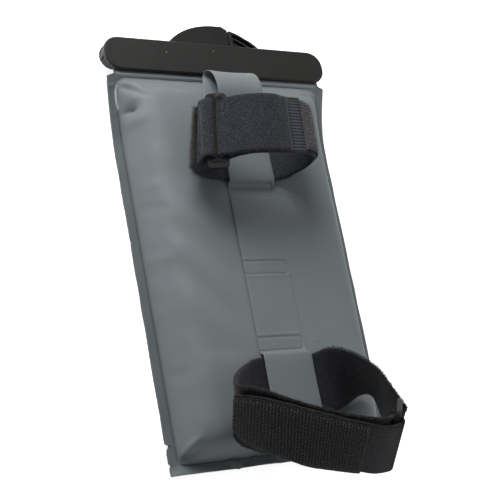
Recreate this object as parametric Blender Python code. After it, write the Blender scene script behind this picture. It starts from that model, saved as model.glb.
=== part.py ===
"""Waterproof phone pouch with a bar clamp, an insulating liner and two hook-and-loop straps.

The pouch lies on its clear front window, with the straps up (+Z) and the clamp
towards +Y. The origin is the centre of the window on the surface it lies on.
"""
from math import atan2, cos, pi, radians, sin, sqrt, tanh

import bmesh
import bpy
from mathutils import Matrix, Vector

MM = 0.001
GAP = 0.3 * MM
CUT = 1 * MM
JOIN = 0.4 * MM

# Pouch: two welded films, a clear window and a foam liner
FILM = 0.6 * MM
WINDOW_FILM = 0.5 * MM
WINDOW_WIDTH = 94 * MM
WINDOW_LENGTH = 150 * MM
WINDOW_LAP = 5 * MM
WINDOW_CORNER = 8 * MM
TOP_MARGIN = 45 * MM
BOTTOM_MARGIN = 5.5 * MM
FLANGE = 4.8 * MM
MOUTH_WIDTH = 129.2 * MM
UPPER_WIDTH = 125.4 * MM
LOWER_WIDTH = 120.2 * MM
NECK_WIDTH = 121 * MM
NECK_LENGTH = 2.5 * MM
SHOULDER_LENGTH = 36 * MM
SHOULDER_POWER = 1.6
BELLY_DEPTH = 21 * MM
BELLY_EDGE = 6 * MM
BELLY_POWER = 1.2
LINER_THICKNESS = 4 * MM
LINER_INSET = 12 * MM

# Clamp: two bars that pinch the films along the pouch's mouth
BAR_LENGTH = 130 * MM
BAR_HEIGHT = 19.3 * MM
BAR_CORNER = 8.3 * MM
BAR_CHAMFER = 0.7 * MM
MOUTH_CLEARANCE = 0.4 * MM
PINCH_DEPTH = 8.3 * MM
PINCH_HEIGHT = 11.1 * MM
FRONT_BAR_THICKNESS = 5.6 * MM
FRONT_BAR_SETBACK = 4.5 * MM
REAR_BAR_THICKNESS = 2.3 * MM
TONGUE_THICKNESS = 4.9 * MM

# Levers: quarter-turn grips that lock the bars by bayonet pins
PIVOT_INSET = 23 * MM
LEVER_THICKNESS = 3 * MM
BOSS_RADIUS = 6.5 * MM
GRIP_RADIUS = 37.5 * MM
GRIP_RIGHT_RADIUS = 36.5 * MM
GRIP_CENTRE_X = 1 * MM
GRIP_RISE = 13.6 * MM
GRIP_CLEARANCE = 0.5 * MM
GRIP_FLAT_END = 6.9 * MM
GRIP_CORNER = 2 * MM
GRIP_DEPTH = 10.5 * MM
SPLIT_X = 10.1 * MM
GRIP_CHAMFER = 0.6 * MM
GRIP_RIM = 1.5 * MM
SLOT_COUNT = 3
SLOT_WIDTH = 2 * MM
SLOT_PITCH = 3.3 * MM
SLOT_DEPTH = 4 * MM
PIN_RADIUS = 2 * MM
PIN_HEAD_RADIUS = 3.8 * MM
PIN_HEAD_THICKNESS = 1 * MM
PIN_GROOVE_WIDTH = 1 * MM
PIN_GROOVE_DEPTH = 0.5 * MM
KEY_LENGTH = 6.8 * MM
KEY_THICKNESS = 2.2 * MM
LIP_THICKNESS = 1.4 * MM

# Strap carrier: a film strip folded over both straps and welded three times
CARRIER_WIDTH = 26 * MM
CARRIER_FILM = 0.6 * MM
WELD_PITCH = 40.3 * MM
WELD_LENGTH = 7.3 * MM
CARRIER_LOOP_HEIGHT = 9 * MM
CARRIER_FOLD_GAP = 2 * MM
CARRIER_EASE = 2 * MM

# Straps: hook-and-loop bands that pass through a ring and close on themselves
STRAP_WIDTH = 30 * MM
STRAP_THICKNESS = 1.6 * MM
PATCH_THICKNESS = 1 * MM
PATCH_MARGIN = 1.5 * MM
UPPER_STRAP_Y = 70 * MM
UPPER_STRAP_DROP = 6 * MM
LOWER_STRAP_DROP = 21.4 * MM
RING_BAR = 2.4 * MM
RING_SLOT = 5.8 * MM
RING_PLAY = 2 * MM
RING_CORNER = 2.5 * MM
RING_HOLE_CORNER = 0.8 * MM
UPPER_LOOP_WIDTH = 60 * MM
UPPER_LOOP_HEIGHT = 34 * MM
UPPER_RING_SLANT = radians(25)
LOWER_LOOP_WIDTH = 80 * MM
LOWER_LOOP_HEIGHT = 28 * MM
LOWER_LOOP_SLUMP = 35 * MM
LOWER_RING_ALONG = (0.54, 0.72, -0.44)
LAYER_SLACK = 0.5 * MM
LAYER_RISE = 3 * MM

ARC_STEPS = 10

# Places that follow from the sizes
MOUTH_Y = WINDOW_LENGTH / 2 + TOP_MARGIN
TOP_SEAM_Y = MOUTH_Y - NECK_LENGTH
BOTTOM_SEAM_Y = -WINDOW_LENGTH / 2 - BOTTOM_MARGIN
BOTTOM_EDGE_Y = BOTTOM_SEAM_Y - FLANGE
FRAME_HEIGHT = WINDOW_FILM + GAP
BAR_BOTTOM_Y = MOUTH_Y + MOUTH_CLEARANCE
BAR_TOP_Y = BAR_BOTTOM_Y + BAR_HEIGHT
FILM_END_Y = BAR_BOTTOM_Y + PINCH_DEPTH
STEP_Y = FILM_END_Y + GAP
FRONT_BAR_TOP = PINCH_HEIGHT - GAP
FRONT_BAR_FACE = FRONT_BAR_TOP - FRONT_BAR_THICKNESS
REAR_BAR_BOTTOM = PINCH_HEIGHT + 2 * FILM + 2 * GAP
REAR_BAR_FACE = REAR_BAR_BOTTOM + REAR_BAR_THICKNESS
TONGUE_BOTTOM = REAR_BAR_BOTTOM - TONGUE_THICKNESS
PIVOT_X = BAR_LENGTH / 2 - PIVOT_INSET
PIVOT_Y = (STEP_Y + GAP + BAR_TOP_Y) / 2
LEVER_BACK = FRONT_BAR_FACE - GAP
LEVER_FRONT = LEVER_BACK - LEVER_THICKNESS
GRIP_BACK = LEVER_FRONT + GRIP_DEPTH
GRIP_BOTTOM_Y = BAR_TOP_Y + GRIP_CLEARANCE
GRIP_TOP_Y = BAR_TOP_Y + GRIP_RISE
GRIP_CENTRE_Y = GRIP_TOP_Y - GRIP_RADIUS
WELD_Y = UPPER_STRAP_Y - STRAP_WIDTH / 2 - UPPER_STRAP_DROP
LOWER_STRAP_Y = WELD_Y - 2 * WELD_PITCH - LOWER_STRAP_DROP

COLOURS = {
    "film": (0.19, 0.215, 0.225),
    "clear": (0.80, 0.84, 0.85),
    "foam": (0.30, 0.31, 0.32),
    "plastic": (0.034, 0.032, 0.030),
    "pin": (0.05, 0.05, 0.05),
    "webbing": (0.017, 0.018, 0.023),
    "hook": (0.024, 0.024, 0.025),
    "ring": (0.030, 0.031, 0.034),
}
ROUGHNESS = {"film": 0.5, "clear": 0.12, "foam": 0.95, "plastic": 0.55,
             "pin": 0.45, "webbing": 0.85, "hook": 0.9, "ring": 0.4}


def clear_scene():
    for item in list(bpy.data.objects):
        bpy.data.objects.remove(item, do_unlink=True)


def make_material(name):
    material = bpy.data.materials.new(name)
    material.use_nodes = True
    shader = material.node_tree.nodes["Principled BSDF"]
    shader.inputs["Base Color"].default_value = (*COLOURS[name], 1)
    shader.inputs["Roughness"].default_value = ROUGHNESS[name]
    shader.inputs["Metallic"].default_value = 0
    if name == "clear":
        shader.inputs["Transmission Weight"].default_value = 0.9
    return material


def add_object(name, shape, material):
    """Turn a bmesh into an object whose faces point outwards."""
    bmesh.ops.recalc_face_normals(shape, faces=shape.faces)
    mesh = bpy.data.meshes.new(name)
    shape.to_mesh(mesh)
    shape.free()
    mesh.materials.append(material)
    mesh.shade_smooth()
    mesh.set_sharp_from_angle(angle=radians(35))
    item = bpy.data.objects.new(name, mesh)
    bpy.context.collection.objects.link(item)
    return item


def combine(item, operation, other):
    """Add a Boolean that takes other, or each object in other, into item."""
    for index, tool in enumerate(other):
        tool.hide_render = True
        tool.display_type = "WIRE"
        boolean = item.modifiers.new(f"{operation.lower()}_{index}", "BOOLEAN")
        boolean.operation = operation
        boolean.solver = "EXACT"
        boolean.object = tool


def arc(centre, radius, start, end, steps=ARC_STEPS):
    """Points of an arc in the XY plane, with angles in radians."""
    return [(centre[0] + radius * cos(start + (end - start) * i / steps),
             centre[1] + radius * sin(start + (end - start) * i / steps))
            for i in range(steps + 1)]


def rounded_rectangle(width, length, radius, centre=(0, 0)):
    corners = ((1, 1, 0), (-1, 1, pi / 2), (-1, -1, pi), (1, -1, 3 * pi / 2))
    points = []
    for side_x, side_y, start in corners:
        corner = (centre[0] + side_x * (width / 2 - radius),
                  centre[1] + side_y * (length / 2 - radius))
        points += arc(corner, radius, start, start + pi / 2, 5)
    return points


def bar_outline(inset=0, setback=0):
    """Outline of a clamp bar, drawn in by inset, its lower edge set back from the mouth."""
    height = BAR_HEIGHT - setback
    radius = min(BAR_CORNER, height / 2 - GAP)
    return rounded_rectangle(BAR_LENGTH - 2 * inset, height - 2 * inset, radius - inset,
                             (0, BAR_TOP_Y - height / 2))


def loft(levels):
    """Close a stack of outlines with equal point counts; each level is (z, outline)."""
    shape = bmesh.new()
    rings = [[shape.verts.new((x, y, z)) for x, y in outline] for z, outline in levels]
    for low, high in zip(rings, rings[1:]):
        for i, vert in enumerate(low):
            after = (i + 1) % len(low)
            shape.faces.new((vert, low[after], high[after], high[i]))
    shape.faces.new(rings[0][::-1])
    shape.faces.new(rings[-1])
    return shape


def block(name, low, high, material):
    """A plain box between two corners, for cutting or joining."""
    outline = [(low[0], low[1]), (high[0], low[1]), (high[0], high[1]), (low[0], high[1])]
    return add_object(name, loft([(low[2], outline), (high[2], outline)]), material)


def disc(name, centre, radius, low, high, material, steps=24):
    outline = arc(centre, radius, 0, 2 * pi * (steps - 1) / steps, steps - 1)
    return add_object(name, loft([(low, outline), (high, outline)]), material)


def half_width(y):
    """Half of the pouch's width at y, widest where the clamp holds it flat."""
    run = (y - BOTTOM_EDGE_Y) / (MOUTH_Y - SHOULDER_LENGTH - BOTTOM_EDGE_Y)
    belly = LOWER_WIDTH + (UPPER_WIDTH - LOWER_WIDTH) * min(run, 1)
    shoulder = min(max(1 - (MOUTH_Y - y) / SHOULDER_LENGTH, 0), 1)
    return (belly + (MOUTH_WIDTH - belly) * shoulder ** SHOULDER_POWER) / 2


def seam_height(y):
    """Height of the front film's outer face, level but for its climb to the clamp."""
    shoulder = min(max(1 - (MOUTH_Y - y) / SHOULDER_LENGTH, 0), 1)
    return FRAME_HEIGHT + (PINCH_HEIGHT - FRAME_HEIGHT) * shoulder ** SHOULDER_POWER


def swell(inset):
    """Share of the belly's depth at a distance inside its seam."""
    return tanh(max(inset, 0) / BELLY_EDGE) ** BELLY_POWER


def belly_inside(x, y):
    """Height of the back film's inner face."""
    flange = seam_height(y) + FILM + GAP
    side = swell(half_width(y) - FLANGE - abs(x))
    ends = swell(TOP_SEAM_Y - y) * swell(y - BOTTOM_SEAM_Y)
    return flange + (BELLY_DEPTH - FILM - flange) * side * ends


def belly_outside(y):
    """Height of the back film's outer face on the pouch's centre line."""
    return belly_inside(0, y) + FILM


def insets():
    """Distances from a seam at which the films need a row of points."""
    return [share * MM for share in (0, 1.2, 2.6, 4.2, 6.2, 9, 13, 20)]


def film_rows():
    """Rows of points from the bottom edge up to the end of the neck in the clamp."""
    rows = [BOTTOM_EDGE_Y] + [BOTTOM_SEAM_Y + step for step in insets()]
    low = rows[-1]
    high = TOP_SEAM_Y - insets()[-1]
    rows += [low + (high - low) * i / 8 for i in range(1, 8)]
    rows += [TOP_SEAM_Y - step for step in insets()[::-1]]
    return rows + [MOUTH_Y, FILM_END_Y]


def film_sheet(name, rows, columns, height, material, thickness, side, hole=None):
    """Skin a grid of heights and thicken it; columns gives the x values of a row."""
    shape = bmesh.new()
    grid = [[shape.verts.new((x, y, height(x, y))) for x in columns(y)] for y in rows]
    for lower, upper in zip(grid, grid[1:]):
        for i in range(len(lower) - 1):
            corners = (lower[i], lower[i + 1], upper[i + 1], upper[i])
            middle = sum((corner.co for corner in corners), Vector()) / 4
            if hole is None or not hole(middle):
                shape.faces.new(corners)
    for loose in [vert for vert in shape.verts if not vert.link_faces]:
        shape.verts.remove(loose)
    mesh = bpy.data.meshes.new(name)
    shape.to_mesh(mesh)
    shape.free()
    mesh.materials.append(material)
    mesh.shade_smooth()
    item = bpy.data.objects.new(name, mesh)
    bpy.context.collection.objects.link(item)
    solidify = item.modifiers.new("thickness", "SOLIDIFY")
    solidify.thickness = thickness
    solidify.offset = side
    solidify.use_even_offset = True
    return item


def back_columns(y):
    """X values across the back film, closest together on the belly's steep sides."""
    if y > TOP_SEAM_Y + NECK_LENGTH / 2:
        edge = NECK_WIDTH / 2
    else:
        edge = half_width(y)
    seam = edge - FLANGE
    right = [seam - step for step in insets()] + [seam * 0.4]
    return [-edge] + [-x for x in right] + [0] + right[::-1] + [edge]


def front_columns(y):
    """X values across the front film, with a line along each side of the window."""
    if y > TOP_SEAM_Y + NECK_LENGTH / 2:
        edge = NECK_WIDTH / 2
    else:
        edge = half_width(y)
    right = [WINDOW_WIDTH / 2, edge - FLANGE, edge]
    return [-x for x in right[::-1]] + [-WINDOW_WIDTH / 4, 0, WINDOW_WIDTH / 4] + right


def front_rows():
    window = [-WINDOW_LENGTH / 2 + WINDOW_LENGTH * i / 4 for i in range(5)]
    shoulder = [MOUTH_Y - SHOULDER_LENGTH * (1 - i / 8) for i in range(9)]
    return [BOTTOM_EDGE_Y, BOTTOM_SEAM_Y] + window + shoulder + [FILM_END_Y]


def build_pouch(materials):
    def in_window(point):
        return abs(point.x) < WINDOW_WIDTH / 2 and abs(point.y) < WINDOW_LENGTH / 2

    film_sheet("front_frame", front_rows(), front_columns, lambda x, y: seam_height(y),
               materials["film"], FILM, 1, in_window)
    film_sheet("back_film", film_rows(), back_columns, belly_inside,
               materials["film"], FILM, 1)

    outline = rounded_rectangle(WINDOW_WIDTH + 2 * WINDOW_LAP, WINDOW_LENGTH + 2 * WINDOW_LAP,
                                WINDOW_CORNER)
    levels = [(0, outline), (WINDOW_FILM, outline)]
    add_object("window_film", loft(levels), materials["clear"])

    def liner_columns(y):
        edge = half_width(y) - FLANGE - LINER_INSET
        return [edge * share for share in (-1, -0.88, -0.45, 0, 0.45, 0.88, 1)]

    low = BOTTOM_SEAM_Y + LINER_INSET
    high = TOP_SEAM_Y - LINER_INSET
    rows = [low + (high - low) * share for share in (0, 0.03, 0.15, 0.4, 0.6, 0.85, 0.97, 1)]
    film_sheet("insulating_liner", rows, liner_columns, lambda x, y: belly_inside(x, y) - GAP,
               materials["foam"], LINER_THICKNESS, -1)


def build_bars(materials):
    """Rear and front bar, stepped so that they pinch the films and meet above them."""
    plastic = materials["plastic"]
    reach = BAR_LENGTH
    rear = add_object("clamp_rear_bar", loft([
        (TONGUE_BOTTOM, bar_outline()),
        (REAR_BAR_FACE - BAR_CHAMFER, bar_outline()),
        (REAR_BAR_FACE, bar_outline(BAR_CHAMFER))]), plastic)
    mouth = block("rear_mouth_cutter", (-reach, BAR_BOTTOM_Y - BAR_HEIGHT, TONGUE_BOTTOM - CUT),
                  (reach, STEP_Y + GAP, REAR_BAR_BOTTOM), plastic)
    cutters = [mouth]
    chamber_low = TONGUE_BOTTOM + LIP_THICKNESS
    chamber_high = chamber_low + KEY_THICKNESS + 2 * GAP
    for side, word in ((-1, "left"), (1, "right")):
        pivot = (side * PIVOT_X, PIVOT_Y)
        cutters.append(disc(f"chamber_{word}_cutter", pivot, KEY_LENGTH / 2 + GAP,
                            chamber_low, chamber_high, plastic))
        slot = rounded_rectangle(KEY_LENGTH + 2 * GAP, 2 * PIN_RADIUS + 2 * GAP, PIN_RADIUS, pivot)
        levels = [(TONGUE_BOTTOM - CUT, slot), (chamber_low + GAP, slot)]
        cutters.append(add_object(f"key_slot_{word}_cutter", loft(levels), plastic))
    combine(rear, "DIFFERENCE", cutters)

    front = add_object("clamp_front_bar", loft([
        (FRONT_BAR_FACE, bar_outline(BAR_CHAMFER, FRONT_BAR_SETBACK)),
        (FRONT_BAR_FACE + BAR_CHAMFER, bar_outline(0, FRONT_BAR_SETBACK)),
        (FRONT_BAR_TOP, bar_outline(0, FRONT_BAR_SETBACK))]), plastic)
    cutters = [block("front_step_cutter", (-reach, STEP_Y, TONGUE_BOTTOM - GAP),
                     (reach, BAR_TOP_Y + BAR_HEIGHT, FRONT_BAR_TOP + CUT), plastic)]
    for side, word in ((-1, "left"), (1, "right")):
        cutters.append(disc(f"pin_hole_{word}_cutter", (side * PIVOT_X, PIVOT_Y),
                            PIN_RADIUS + GAP, FRONT_BAR_FACE - CUT, FRONT_BAR_TOP + MM, plastic))
    combine(front, "DIFFERENCE", cutters)


def grip_arc(radius, centre_y, side):
    """Round top of a grip from the bars' top edge up to the flat or the split."""
    bottom = GRIP_BOTTOM_Y - centre_y
    start_x = sqrt(radius ** 2 - bottom ** 2)
    top_x = SPLIT_X + GAP - GRIP_CENTRE_X if side > 0 else 0
    start = atan2(bottom, start_x)
    end = atan2(sqrt(radius ** 2 - top_x ** 2), top_x)
    points = arc((0, centre_y), radius, start, end)
    return [(GRIP_CENTRE_X + side * x, y) for x, y in points]


def grip_outline(side):
    """Part of the lever that stands above the bars, from its foot round to the split."""
    if side < 0:
        rim = grip_arc(GRIP_RADIUS, GRIP_CENTRE_Y, side)
        shoulder = [(GRIP_FLAT_END, GRIP_TOP_Y), (SPLIT_X - GAP, GRIP_TOP_Y - GRIP_CORNER)]
        return rim + shoulder + [(SPLIT_X - GAP, GRIP_BOTTOM_Y)]
    rim = grip_arc(GRIP_RIGHT_RADIUS, GRIP_CENTRE_Y, side)
    return rim + [(SPLIT_X + GAP, GRIP_BOTTOM_Y)]


def lever_outline(side):
    """Whole lever seen from the front: pivot boss, tapering arm and grip."""
    pivot = (side * PIVOT_X, PIVOT_Y)
    grip = grip_outline(side)
    tip_x = SPLIT_X + side * GAP
    outer = arc(pivot, BOSS_RADIUS, pi / 2, 3 * pi / 2)
    if side > 0:
        outer = [(2 * pivot[0] - x, y) for x, y in outer]
    return grip[:-1] + [(tip_x, PIVOT_Y + MM)] + outer[::-1]


def shrink(outline, amount):
    """Draw an outline in towards its middle by about amount, for a chamfer."""
    middle = (sum(x for x, _ in outline) / len(outline), sum(y for _, y in outline) / len(outline))
    points = []
    for x, y in outline:
        away = Vector((x - middle[0], y - middle[1]))
        away *= 1 - amount / max(away.length, amount)
        points.append((middle[0] + away.x, middle[1] + away.y))
    return points


def curved_slot(name, radius, material):
    """Cutter for one of the grooves that follow the right grip's rim."""
    centre = (GRIP_CENTRE_X, GRIP_CENTRE_Y)
    inner = radius - SLOT_WIDTH
    low = GRIP_BOTTOM_Y + MM - GRIP_CENTRE_Y
    left = SPLIT_X + 2 * MM - GRIP_CENTRE_X

    def sweep(reach):
        return atan2(low, sqrt(reach ** 2 - low ** 2)), atan2(sqrt(reach ** 2 - left ** 2), left)

    outline = arc(centre, radius, *sweep(radius))
    if inner > sqrt(low ** 2 + left ** 2) + MM:
        outline += arc(centre, inner, *sweep(inner))[::-1]
    else:
        outline.append((centre[0] + left, centre[1] + low))
    levels = [(GRIP_BACK - SLOT_DEPTH, outline), (GRIP_BACK + CUT, outline)]
    return add_object(name, loft(levels), material)


def build_lever(side, word, materials):
    plastic = materials["plastic"]
    outline = lever_outline(side)
    lever = add_object(f"lever_{word}", loft([
        (LEVER_FRONT, shrink(outline, GRIP_CHAMFER)),
        (LEVER_FRONT + GRIP_CHAMFER, outline),
        (LEVER_BACK, outline)]), plastic)
    grip = grip_outline(side)
    levels = [(LEVER_FRONT + GRIP_CHAMFER + JOIN, grip), (GRIP_BACK - GRIP_CHAMFER, grip),
              (GRIP_BACK, shrink(grip, GRIP_CHAMFER))]
    combine(lever, "UNION", [add_object(f"grip_{word}_tool", loft(levels), plastic)])
    pivot = (side * PIVOT_X, PIVOT_Y)
    cutters = [
        disc(f"bore_{word}_cutter", pivot, PIN_RADIUS + GAP, LEVER_FRONT - CUT,
             LEVER_BACK + CUT, plastic),
        disc(f"seat_{word}_cutter", pivot, PIN_HEAD_RADIUS + GAP, LEVER_FRONT - CUT,
             LEVER_FRONT + PIN_HEAD_THICKNESS + GAP, plastic)]
    if side > 0:
        for index in range(SLOT_COUNT):
            radius = GRIP_RIGHT_RADIUS - GRIP_RIM - SLOT_PITCH * index
            cutters.append(curved_slot(f"grip_slot_{index}_cutter", radius, plastic))
    combine(lever, "DIFFERENCE", cutters)


def build_pin(side, word, materials):
    """Bayonet pin: a slotted head in the lever, a shaft and a key in the rear bar."""
    pivot = (side * PIVOT_X, PIVOT_Y)
    head_top = LEVER_FRONT + PIN_HEAD_THICKNESS
    key_low = TONGUE_BOTTOM + LIP_THICKNESS + GAP
    pin = disc(f"lever_pin_{word}", pivot, PIN_RADIUS, head_top - JOIN,
               key_low + JOIN, materials["pin"], 20)
    head = disc(f"pin_head_{word}_tool", pivot, PIN_HEAD_RADIUS, LEVER_FRONT, head_top,
                materials["pin"])
    key = rounded_rectangle(2 * PIN_RADIUS, KEY_LENGTH, PIN_RADIUS * 0.98, pivot)
    levels = [(key_low, key), (key_low + KEY_THICKNESS, key)]
    key_tool = add_object(f"pin_key_{word}_tool", loft(levels), materials["pin"])
    combine(pin, "UNION", [head, key_tool])
    groove = block(f"pin_groove_{word}_cutter",
                   (pivot[0] - PIN_HEAD_RADIUS, pivot[1] - PIN_GROOVE_WIDTH / 2,
                    LEVER_FRONT - CUT),
                   (pivot[0] + PIN_HEAD_RADIUS, pivot[1] + PIN_GROOVE_WIDTH / 2,
                    LEVER_FRONT + PIN_GROOVE_DEPTH),
                   materials["pin"])
    combine(pin, "DIFFERENCE", [groove])


def smooth_path(points, steps):
    """Catmull-Rom points through a route, steps to each span."""
    route = [Vector(point) for point in points]
    route = [2 * route[0] - route[1]] + route + [2 * route[-1] - route[-2]]
    path = []
    for a, b, c, d in zip(route, route[1:], route[2:], route[3:]):
        for i in range(steps):
            t = i / steps
            path.append(0.5 * (2 * b + (c - a) * t + (2 * a - 5 * b + 4 * c - d) * t * t
                               + (3 * b - a - 3 * c + d) * t ** 3))
    return path + [route[-2]]


def tangents(path):
    last = len(path) - 1
    return [(path[min(i + 1, last)] - path[max(i - 1, 0)]).normalized() for i in range(len(path))]


def normals(path, across):
    """Unit vectors square to the path and to the direction across the band."""
    return [along.cross(side).normalized() for along, side in zip(tangents(path), across)]


def band(path, across, width, thickness):
    """Closed solid of a flat band that follows a path, with a width vector at each point."""
    shape = bmesh.new()
    rings = []
    for point, side, out in zip(path, across, normals(path, across)):
        reach = side.normalized() * width / 2
        rise = out * thickness / 2
        corners = (point + reach + rise, point - reach + rise, point - reach - rise,
                   point + reach - rise)
        rings.append([shape.verts.new(corner) for corner in corners])
    for ring, after in zip(rings, rings[1:]):
        for i in range(4):
            j = (i + 1) % 4
            shape.faces.new((ring[i], ring[j], after[j], after[i]))
    shape.faces.new(rings[0][::-1])
    shape.faces.new(rings[-1])
    return shape


def build_carrier(materials):
    """Film strip: doubled behind the upper strap, welded, then lifted over the lower one."""
    rest = CARRIER_FILM / 2 + GAP
    over = rest + STRAP_THICKNESS + CARRIER_FILM + 2 * GAP
    half = STRAP_WIDTH / 2
    above = UPPER_STRAP_Y + half
    below = UPPER_STRAP_Y - half
    fold = BAR_BOTTOM_Y - CARRIER_FOLD_GAP

    def on_belly(y, lift=0.0):
        return (0, y, belly_outside(y) + rest + lift)

    top = belly_outside(above) + rest
    bulge = CARRIER_LOOP_HEIGHT
    route = [on_belly(below + CARRIER_EASE), on_belly(UPPER_STRAP_Y), on_belly(above),
             on_belly(above + bulge, GAP)]
    # The loose fold at the top, as shares of its height
    for along, rise in ((-0.89, -0.13), (-0.27, -0.29), (-0.04, -0.09), (-0.13, 0.22),
                        (-0.67, 0.75), (-1.56, 1)):
        route.append((0, fold + along * bulge, top + rise * bulge))
    route += [(0, above + bulge, top + 0.7 * bulge), (0, above + bulge / 3, top + over + 2 * GAP),
              on_belly(above - 2 * CARRIER_EASE, over), on_belly(UPPER_STRAP_Y, over),
              on_belly(below + CARRIER_EASE / 2, over), on_belly(below - CARRIER_EASE, over * 0.45)]
    welds = [WELD_Y - WELD_PITCH * i for i in range(3)]
    route += [on_belly(welds[0] + WELD_LENGTH / 3), on_belly(welds[0] - WELD_LENGTH / 2),
              on_belly(welds[1]), on_belly(welds[2])]
    upper = LOWER_STRAP_Y + half
    lower = LOWER_STRAP_Y - half
    lift = over - CARRIER_FILM - GAP
    route += [on_belly(upper + CARRIER_EASE, lift * 0.45), on_belly(upper, lift + GAP),
              on_belly(LOWER_STRAP_Y, lift), on_belly(lower + CARRIER_EASE, lift + GAP),
              on_belly(lower - CARRIER_EASE, lift * 0.5), on_belly(lower - 2.2 * CARRIER_EASE)]
    path = smooth_path(route, 4)
    across = [Vector((1, 0, 0))] * len(path)
    add_object("strap_carrier", band(path, across, CARRIER_WIDTH, CARRIER_FILM),
               materials["film"])


def ring_object(name, centre, along, across, slide, materials):
    """Rectangular ring whose long bars run across a strap, slid to one edge of it."""
    pitch = RING_SLOT + RING_BAR
    slot_length = STRAP_WIDTH + 2 * RING_PLAY
    outer = rounded_rectangle(pitch + RING_BAR, slot_length + 2 * RING_BAR, RING_CORNER)
    ring = add_object(name, loft([(-RING_BAR / 2, outer), (RING_BAR / 2, outer)]),
                      materials["ring"])
    inner = rounded_rectangle(RING_SLOT, slot_length, RING_HOLE_CORNER)
    hole = add_object(f"{name}_cutter", loft([(-RING_BAR, inner), (RING_BAR, inner)]),
                      materials["ring"])
    side = across.normalized()
    flat = (along - side * along.dot(side)).normalized()
    up = flat.cross(side)
    place = Matrix((flat, side, up)).transposed().to_4x4()
    place.translation = centre + side * slide
    ring.matrix_world = place
    hole.matrix_world = place
    combine(ring, "DIFFERENCE", [hole])
    return [centre - flat * pitch / 2, centre + flat * pitch / 2], flat, up


def wrap(centre, flat, up, start, end, steps=6):
    """Points of a strap's turn round a ring's bar; angles in degrees from flat to up."""
    radius = RING_BAR / sqrt(2) + 2 * GAP + STRAP_THICKNESS / 2
    points = []
    for i in range(steps + 1):
        turn = radians(start + (end - start) * i / steps)
        points.append(centre + (flat * cos(turn) + up * sin(turn)) * radius)
    return points


def patch_on(path, across, start, end, lift):
    """A stretch of a band's path moved out by lift, with its width vectors."""
    out = normals(path, across)
    stretch = range(start, end + 1)
    return ([path[i] + out[i] * lift for i in stretch], [across[i] for i in stretch])


def tilted(tilt, yaw):
    """Unit vector across the strap, tilted up and turned in plan, in degrees."""
    rise, turn = radians(tilt), radians(yaw)
    return Vector((sin(turn) * cos(rise), cos(turn) * cos(rise), sin(rise)))


def build_upper_strap(materials):
    """Strap round the bar or stem: sewn to its ring at the left, closed over the top."""
    bed = belly_outside(UPPER_STRAP_Y) + CARRIER_FILM + 2 * GAP + STRAP_THICKNESS / 2

    def at(x, height):
        """Point of the route, as shares of the loop's width and height."""
        return Vector((x * UPPER_LOOP_WIDTH, UPPER_STRAP_Y, bed + height * UPPER_LOOP_HEIGHT))

    ring_side = tilted(5, 6)
    slant = Vector((cos(UPPER_RING_SLANT), 0, sin(UPPER_RING_SLANT)))
    bars, flat, up = ring_object("upper_ring", at(-0.455, 0.735), slant, ring_side,
                                 RING_HOLE_CORNER - RING_PLAY, materials)
    sewn_end = [at(-0.485, 0.338), at(-0.497, 0.441), at(-0.485, 0.565)]
    sewn_turn = wrap(bars[0], flat, up, -10, 190)
    # Each station: place in the loop, then tilt and yaw of the strap's width in degrees
    loop = [(-0.57, 0.529, 6, 9), (-0.54, 0.382, 8, 12), (-0.495, 0.244, 8, 9),
            (-0.44, 0.135, 3, 3), (-0.333, 0.05, 0, 0), (-0.225, 0, 0, 0), (0, 0, 0, 0),
            (0.2, 0, 0, 0), (0.295, 0.065, 0, 0), (0.36, 0.218, 0, 1), (0.405, 0.429, 0, 2),
            (0.42, 0.635, 0, 3), (0.395, 0.794, 0, 3), (0.315, 0.894, 0, 4),
            (0.19, 0.918, 1, 5), (0, 0.929, 3, 6), (-0.167, 0.912, 5, 6),
            (-0.283, 0.812, 5, 6)]
    closing_turn = wrap(bars[1], flat, up, -75, -285)
    free_end = [at(-0.297, 0.929), at(-0.155, 1.003), at(-0.01, 1.018), at(0.075, 1),
                at(0.142, 0.975)]
    route = sewn_end + sewn_turn + [at(x, height) for x, height, _, _ in loop]
    route += closing_turn + free_end
    sides = [ring_side] * (len(sewn_end) + len(sewn_turn))
    sides += [tilted(tilt, yaw) for _, _, tilt, yaw in loop]
    sides += [ring_side] * (len(closing_turn) + len(free_end) - 2) + [tilted(1, 5)] * 2
    path = smooth_path(route, 2)
    across = [side.normalized() for side in smooth_path(sides, 2)]
    add_object("upper_strap", band(path, across, STRAP_WIDTH, STRAP_THICKNESS),
               materials["webbing"])
    low, high = at(0.26, 0.18), at(0.26, 0.93)
    bend = [i for i, point in enumerate(path) if point.x > low.x and low.z < point.z < high.z]
    lift = -(STRAP_THICKNESS + PATCH_THICKNESS) / 2 - 2 * GAP
    patch, patch_sides = patch_on(path, across, bend[0], bend[-1], lift)
    add_object("upper_hook_patch",
               band(patch, patch_sides, STRAP_WIDTH - 2 * PATCH_MARGIN, PATCH_THICKNESS),
               materials["hook"])


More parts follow.
